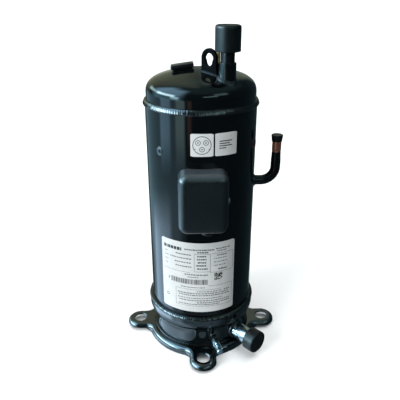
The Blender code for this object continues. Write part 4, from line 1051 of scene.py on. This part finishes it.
class Print:
    """Ink on a label: flat marks a few hundredths of a millimetre proud of the sheet, joined in one mesh."""

    def __init__(self, frame_box, r):
        self.a0, self.a1, self.z0, self.z1 = frame_box
        self.r = r
        self.w = math.radians(self.a1 - self.a0) * SHELL_R
        self.h = self.z1 - self.z0
        self.verts, self.faces = [], []

    def point(self, x, y, r):
        """x from the left edge and y down from the top edge, in mm of the flat label."""
        a = math.radians(self.a0) + x / SHELL_R
        return (r * MM * math.sin(a), -r * MM * math.cos(a), (self.z1 - y) * MM)

    def quad(self, pts):
        lo = len(self.verts)
        k = len(pts)
        for r in (self.r - 0.02, self.r + 0.035):
            for x, y in pts:
                self.verts.append(self.point(x, y, r))
        self.faces.append(tuple(range(lo + k, lo + 2 * k)))
        self.faces.append(tuple(reversed(range(lo, lo + k))))
        for i in range(k):
            q = (i + 1) % k
            self.faces.append((lo + i, lo + q, lo + k + q, lo + k + i))

    def bar(self, x0, y0, x1, y1, piece=5.0):
        n = max(1, int(math.ceil((x1 - x0) / piece)))
        for i in range(n):
            a, b = x0 + (x1 - x0) * i / n, x0 + (x1 - x0) * (i + 1) / n
            self.quad([(a, y0), (b, y0), (b, y1), (a, y1)])

    def ring(self, cx, cy, r, width, n=48):
        for i in range(n):
            a, b = 2 * math.pi * i / n, 2 * math.pi * (i + 1) / n
            self.quad([(cx + (r - width / 2) * math.cos(a), cy + (r - width / 2) * math.sin(a)), (cx + (r + width / 2) * math.cos(a), cy + (r + width / 2) * math.sin(a)),
                       (cx + (r + width / 2) * math.cos(b), cy + (r + width / 2) * math.sin(b)), (cx + (r - width / 2) * math.cos(b), cy + (r - width / 2) * math.sin(b))])

    def words(self, x0, x1, y, height, rng, lo=1.6, hi=6.0, gap=0.9):
        """A line of type shown as dashes, with no letters."""
        x = x0
        while x < x1 - lo:
            w = min(rng.uniform(lo, hi), x1 - x)
            self.bar(x, y - height * rng.uniform(0.42, 0.5), x + w, y + height * rng.uniform(0.42, 0.5))
            x += w + gap * rng.uniform(0.8, 1.6)

    def make(self, name, mat):
        return finish_mesh(name, self.verts, self.faces, mat, slot="label_stock", smooth=0, flip_check=True)


def name_plate_print():
    rng = random.Random(11)
    dark, grey, rule = Print(NP, 83.0), Print(NP, 83.0), Print(NP, 83.0)

    def upright(x, y0, y1):
        rule.quad([(x, y0), (x + 0.5, y0), (x + 0.5, y1), (x, y1)])

    def level(y, x0, x1):
        rule.bar(x0, y, x1, y + 0.5)

    # heading: seven plain blocks, then a line of small type
    x = 5.0
    for w in (4.4, 1.8, 4.0, 4.6, 4.2, 4.6, 1.8):
        dark.bar(x, 9.6, x + w, 14.8)
        x += w + 1.0
    grey.words(41.0, 86.0, 11.5, 2.2, rng, 1.4, 4.0, 0.7)
    dark.words(89.0, 113.0, 10.4, 1.7, rng, 1.2, 3.4, 0.7)
    dark.words(91.0, 106.0, 14.2, 1.5, rng, 1.2, 3.4, 0.7)
    # left rows
    for y in (20.5, 27.5, 34.5, 41.5):
        grey.words(24.0 + rng.uniform(-8, 4), 52.0, y, 1.9, rng, 1.4, 3.8, 0.8)
        grey.words(7.0, 13.0, y, 1.1, rng, 1.4, 3.0, 0.8)
    level(51.0, 3.0, 50.0)
    # middle table
    upright(56.0, 18.5, 49.0)
    upright(80.3, 18.5, 51.5)
    level(18.5, 56.0, 80.5)
    level(49.0, 56.0, 80.5)
    for y in (15.6, 22.4, 27.6, 33.0, 38.4, 44.0):
        dark.words(59.5 + rng.uniform(-0.8, 2.5), 78.0 - rng.uniform(0, 4.0), y, 2.3, rng, 1.4, 3.8, 0.6)
    # right column
    level(18.0, 82.0, 118.0)
    level(50.4, 80.5, 118.0)
    upright(117.5, 18.0, 50.6)
    dark.words(91.0, 108.0, 21.8, 1.9, rng, 1.4, 3.6, 0.7)
    for y in (27.0, 33.0, 39.0):
        grey.words(86.0, 104.0 + rng.uniform(-5, 6), y, 1.3, rng, 1.2, 3.4)
    dark.words(93.0, 107.0, 46.0, 2.2, rng, 1.6, 3.8, 0.6)
    # code strips
    dark.words(41.0, 79.0, 55.0, 1.8, rng, 1.2, 3.6, 0.7)
    grey.words(46.0, 62.0, 59.4, 1.5, rng, 1.2, 3.0, 0.7)
    dark.bar(13.0, 65.0, 14.4, 70.0)
    x = 18.0
    while x < 76.5:
        w = rng.choice((0.5, 0.5, 0.9, 1.4))
        dark.bar(x, 63.4, x + w, 72.4, 10)
        x += w + rng.choice((0.45, 0.6, 0.9))
    cell = 1.15
    for i in range(11):
        for j in range(11):
            finder = (i < 3 and j < 3) or (i < 3 and j > 7) or (i > 7 and j < 3)
            if (finder and not (i % 8 == 1 and j % 8 == 1)) or (not finder and rng.random() < 0.62):
                x, y = 87.0 + i * cell, 52.4 + j * cell
                dark.quad([(x, y), (x + cell, y), (x + cell, y + cell), (x, y + cell)])
    # foot
    level(74.6, 78.0, 117.0)
    level(81.6, 26.0, 98.0)
    level(112.2, 26.0, 117.0)
    upright(25.7, 81.6, 112.4)
    upright(116.6, 74.8, 112.4)
    for y, x0, x1, ink, h in ((78.0, 34.0, 72.0, grey, 1.3), (85.4, 60.0, 98.0, grey, 1.4), (85.4, 103.0, 114.0, dark, 1.9), (89.0, 29.0, 112.0, grey, 1.7), (92.6, 31.0, 113.0, dark, 1.5),
                              (98.0, 29.0, 100.0, grey, 1.4), (102.2, 31.0, 113.0, grey, 1.7), (106.0, 60.0, 113.0, dark, 1.6), (109.4, 30.0, 96.0, grey, 1.5)):
        ink.words(x0, x1, y, h, rng, 1.2, 4.6, 0.8)
    dark.ring(11.0, 99.0, 2.2, 0.8, 20)
    dark.make("name_plate_dark_ink", INK)
    grey.make("name_plate_grey_ink", INK_GREY)
    rule.make("name_plate_rules", INK_LINE)


def sticker_prints():
    p = Print(S1, 82.95)
    cx, cy = p.w * 0.5, p.h * 0.5
    p.ring(cx, cy, 12.4, 0.9)
    for x, y in ((-5.4, -3.6), (5.4, -3.6), (0.0, 5.8)):
        p.ring(cx + x, cy + y, 3.3, 0.8, 32)
        p.bar(cx + x - 1.2, cy + y - 0.4, cx + x + 1.2, cy + y + 0.4)
        p.bar(cx + x - 0.4, cy + y - 1.2, cx + x + 0.4, cy + y + 1.2)
    for x in (-1.0, 1.0):
        p.bar(cx + x * 9.6 - 0.9, cy + 5.0, cx + x * 9.6 + 0.9, cy + 5.8)
    p.make("wiring_print", INK)
    # four level bars, where the sticker has a word
    q = Print(S2, 82.95)
    for k, (x0, x1) in enumerate(((6.0, 25.0), (6.0, 21.5), (6.0, 25.0), (6.0, 16.0))):
        q.bar(x0, 10.6 + 3.3 * k, x1, 12.0 + 3.3 * k)
    q.make("approval_print", INK)


name_plate_print()
sticker_prints()

# ------------------------------------------------------------------ studio
floor = None
bm = bmesh.new()
bmesh.ops.create_grid(bm, x_segments=2, y_segments=2, size=30.0)
me = bpy.data.meshes.new("studio_floor")
bm.to_mesh(me)
bm.free()
floor = bpy.data.objects.new("studio_floor", me)
bpy.context.scene.collection.objects.link(floor)
floor.location = (0, 0, -0.0002)
t = Tree("pale_floor")
t.link(t.mix(t.noise(1.5, 2.0), (0.955, 0.955, 0.955), (0.985, 0.985, 0.985)), "Base Color")
me.materials.append(t.done(Roughness=0.9, Specular_IOR_Level=0.0))
floor.visible_glossy = False
floor.visible_diffuse = False


def build_world():
    """Studio surround: pale to the eye, and a few soft windows in dark walls as the gloss sees it."""
    w = bpy.data.worlds.new("studio")
    bpy.context.scene.world = w
    w.use_nodes = True
    nt = w.node_tree
    nt.nodes.clear()
    out = nt.nodes.new("ShaderNodeOutputWorld")
    co = nt.nodes.new("ShaderNodeTexCoord")
    sep = nt.nodes.new("ShaderNodeSeparateXYZ")
    nt.links.new(co.outputs["Generated"], sep.inputs[0])

    def m(op, a, b=None, c=None):
        n = nt.nodes.new("ShaderNodeMath")
        n.operation = op
        for i, v in enumerate((a, b, c)):
            if v is None:
                continue
            if isinstance(v, bpy.types.NodeSocket):
                nt.links.new(v, n.inputs[i])
            else:
                n.inputs[i].default_value = v
        return n.outputs[0]

    x, y, z = sep.outputs
    az = m("ARCTAN2", x, m("MULTIPLY", y, -1.0))
    el = m("ARCSINE", z)

    def window(value, lo, hi, soft):
        def step(v, a, b):
            n = nt.nodes.new("ShaderNodeMapRange")
            n.interpolation_type = "SMOOTHSTEP"
            n.inputs["From Min"].default_value = a
            n.inputs["From Max"].default_value = b
            nt.links.new(v, n.inputs["Value"])
            return n.outputs["Result"]
        lo, hi, soft = (math.radians(v) for v in (lo, hi, soft))
        return m("MULTIPLY", step(value, lo - soft / 2, lo + soft / 2), m("SUBTRACT", 1.0, step(value, hi - soft / 2, hi + soft / 2)))

    total = None
    for az_lo, az_hi, az_soft, el_lo, el_hi, el_soft, colour, strength in WINDOWS:
        f = m("MULTIPLY", window(az, az_lo, az_hi, az_soft), window(el, el_lo, el_hi, el_soft))
        vec = nt.nodes.new("ShaderNodeVectorMath")
        vec.operation = "SCALE"
        vec.inputs[0].default_value = colour
        nt.links.new(m("MULTIPLY", f, strength), vec.inputs["Scale"])
        if total is None:
            total = vec.outputs[0]
        else:
            add = nt.nodes.new("ShaderNodeVectorMath")
            nt.links.new(total, add.inputs[0])
            nt.links.new(vec.outputs[0], add.inputs[1])
            total = add.outputs[0]
    add = nt.nodes.new("ShaderNodeVectorMath")
    nt.links.new(total, add.inputs[0])
    add.inputs[1].default_value = AMBIENT
    glossy = nt.nodes.new("ShaderNodeBackground")
    nt.links.new(add.outputs[0], glossy.inputs["Color"])
    eye = nt.nodes.new("ShaderNodeBackground")
    eye.inputs["Color"].default_value = (1.0, 1.0, 1.0, 1.0)
    eye.inputs["Strength"].default_value = 1.0
    # matt surfaces see an even overhead diffuser and a weak surround
    soft = nt.nodes.new("ShaderNodeBackground")
    band = nt.nodes.new("ShaderNodeMapRange")
    band.interpolation_type = "SMOOTHSTEP"
    for k, v in (("From Min", math.radians(40)), ("From Max", math.radians(62)), ("To Min", LOW_SKY), ("To Max", HIGH_SKY)):
        band.inputs[k].default_value = v
    nt.links.new(el, band.inputs["Value"])
    soft.inputs["Color"].default_value = (0.97, 1.0, 1.0, 1.0)
    nt.links.new(band.outputs["Result"], soft.inputs["Strength"])
    lp = nt.nodes.new("ShaderNodeLightPath")
    first = nt.nodes.new("ShaderNodeMixShader")
    nt.links.new(lp.outputs["Is Glossy Ray"], first.inputs[0])
    nt.links.new(soft.outputs[0], first.inputs[1])
    nt.links.new(glossy.outputs[0], first.inputs[2])
    mix = nt.nodes.new("ShaderNodeMixShader")
    nt.links.new(lp.outputs["Is Camera Ray"], mix.inputs[0])
    nt.links.new(first.outputs[0], mix.inputs[1])
    nt.links.new(eye.outputs[0], mix.inputs[2])
    nt.links.new(mix.outputs[0], out.inputs["Surface"])
    w.cycles.sampling_method = "NONE"


LOW_SKY, HIGH_SKY = 0.06, 2.6
AMBIENT = (0.030, 0.055, 0.068)
# azimuth from -Y towards +X (degrees): low, high, softness; elevation: low, high, softness; colour; strength
WINDOWS = [
    (-116, -44, 26, 14, 62, 20, (1.9, 3.4, 4.6), 1.0),
    (-104, -58, 8, 9, 21, 5, (11.0, 15.5, 17.0), 1.0),
    (-136, -104, 14, 10, 20, 7, (2.4, 3.8, 3.9), 1.0),
    (-66, -48, 8, 0, 11, 5, (5.0, 8.0, 8.8), 1.0),
    (-112, -42, 20, -6, 12, 8, (0.6, 1.4, 1.8), 1.0),
    (-92, -67, 7, -19, -4, 5, (0.75, 1.35, 1.8), 1.0),
    (-54, -35, 5, -19, -4, 5, (0.70, 0.95, 0.90), 1.0),
    (-150, -34, 8, -28, -5, 8, (0.28, 0.50, 0.62), 1.0),
    (-128, -72, 14, -41, -26, 7, (1.35, 1.9, 2.5), 1.0),
    (-142, -46, 18, -48, -26, 10, (0.45, 0.64, 0.80), 1.0),
    (-160, -30, 30, -88, -44, 12, (0.36, 0.50, 0.62), 1.0),
    (-60, 40, 30, -60, -34, 10, (0.12, 0.17, 0.22), 1.0),
    (-29, -21, 4, -18, -3, 4, (0.42, 0.24, 0.20), 1.0),
    (3, 16, 4, 18, 24, 4, (1.5, 2.3, 2.3), 1.0),
    (16, 33, 4, 19, 27, 6, (1.2, 1.9, 1.9), 1.0),
    (28, 60, 8, 26, 42, 10, (0.9, 1.4, 1.5), 1.0),
    (-178, -128, 30, 2, 84, 24, (0.36, 0.38, 0.24), 1.0),
    (158, 179.5, 14, -40, 70, 24, (0.26, 0.28, 0.20), 1.0),
    (-179.5, -164, 14, -40, 6, 20, (0.70, 0.72, 0.60), 1.0),
    (-180, 180, 0.1, 44, 91, 24, (0.10, 0.18, 0.18), 1.0),
]
build_world()


def sun(name, az, el, strength, spread, colour=(1, 1, 1)):
    """Far soft source that shows in no reflection; azimuth as in WINDOWS."""
    d = bpy.data.lights.new(name, "SUN")
    d.energy = strength
    d.angle = math.radians(spread)
    d.color = colour
    o = bpy.data.objects.new(name, d)
    bpy.context.scene.collection.objects.link(o)
    a, e = math.radians(az), math.radians(el)
    toward = Vector((math.cos(e) * math.sin(a), -math.cos(e) * math.cos(a), math.sin(e)))
    o.rotation_euler = (-toward).to_track_quat("-Z", "Y").to_euler()
    o.visible_glossy = False
    return o


sun("key_left", -50, 22, 3.0, 35, (0.96, 1.0, 1.0))

cam_data = bpy.data.cameras.new("camera")
cam = bpy.data.objects.new("camera", cam_data)
bpy.context.scene.collection.objects.link(cam)
TURN = math.radians(-1.9)
cam.location = (0.7113 * math.sin(TURN), -0.7113 * math.cos(TURN), 0.5612)
cam.rotation_euler = (math.pi / 2 - 0.424, 0, TURN)
cam_data.sensor_width = 36.0
cam_data.lens = 487.1 / 400 * 36
cam_data.shift_x = -0.0025
cam_data.clip_start = 0.01
cam_data.clip_end = 200.0
bpy.context.scene.camera = cam
bpy.context.scene.view_settings.view_transform = "Standard"
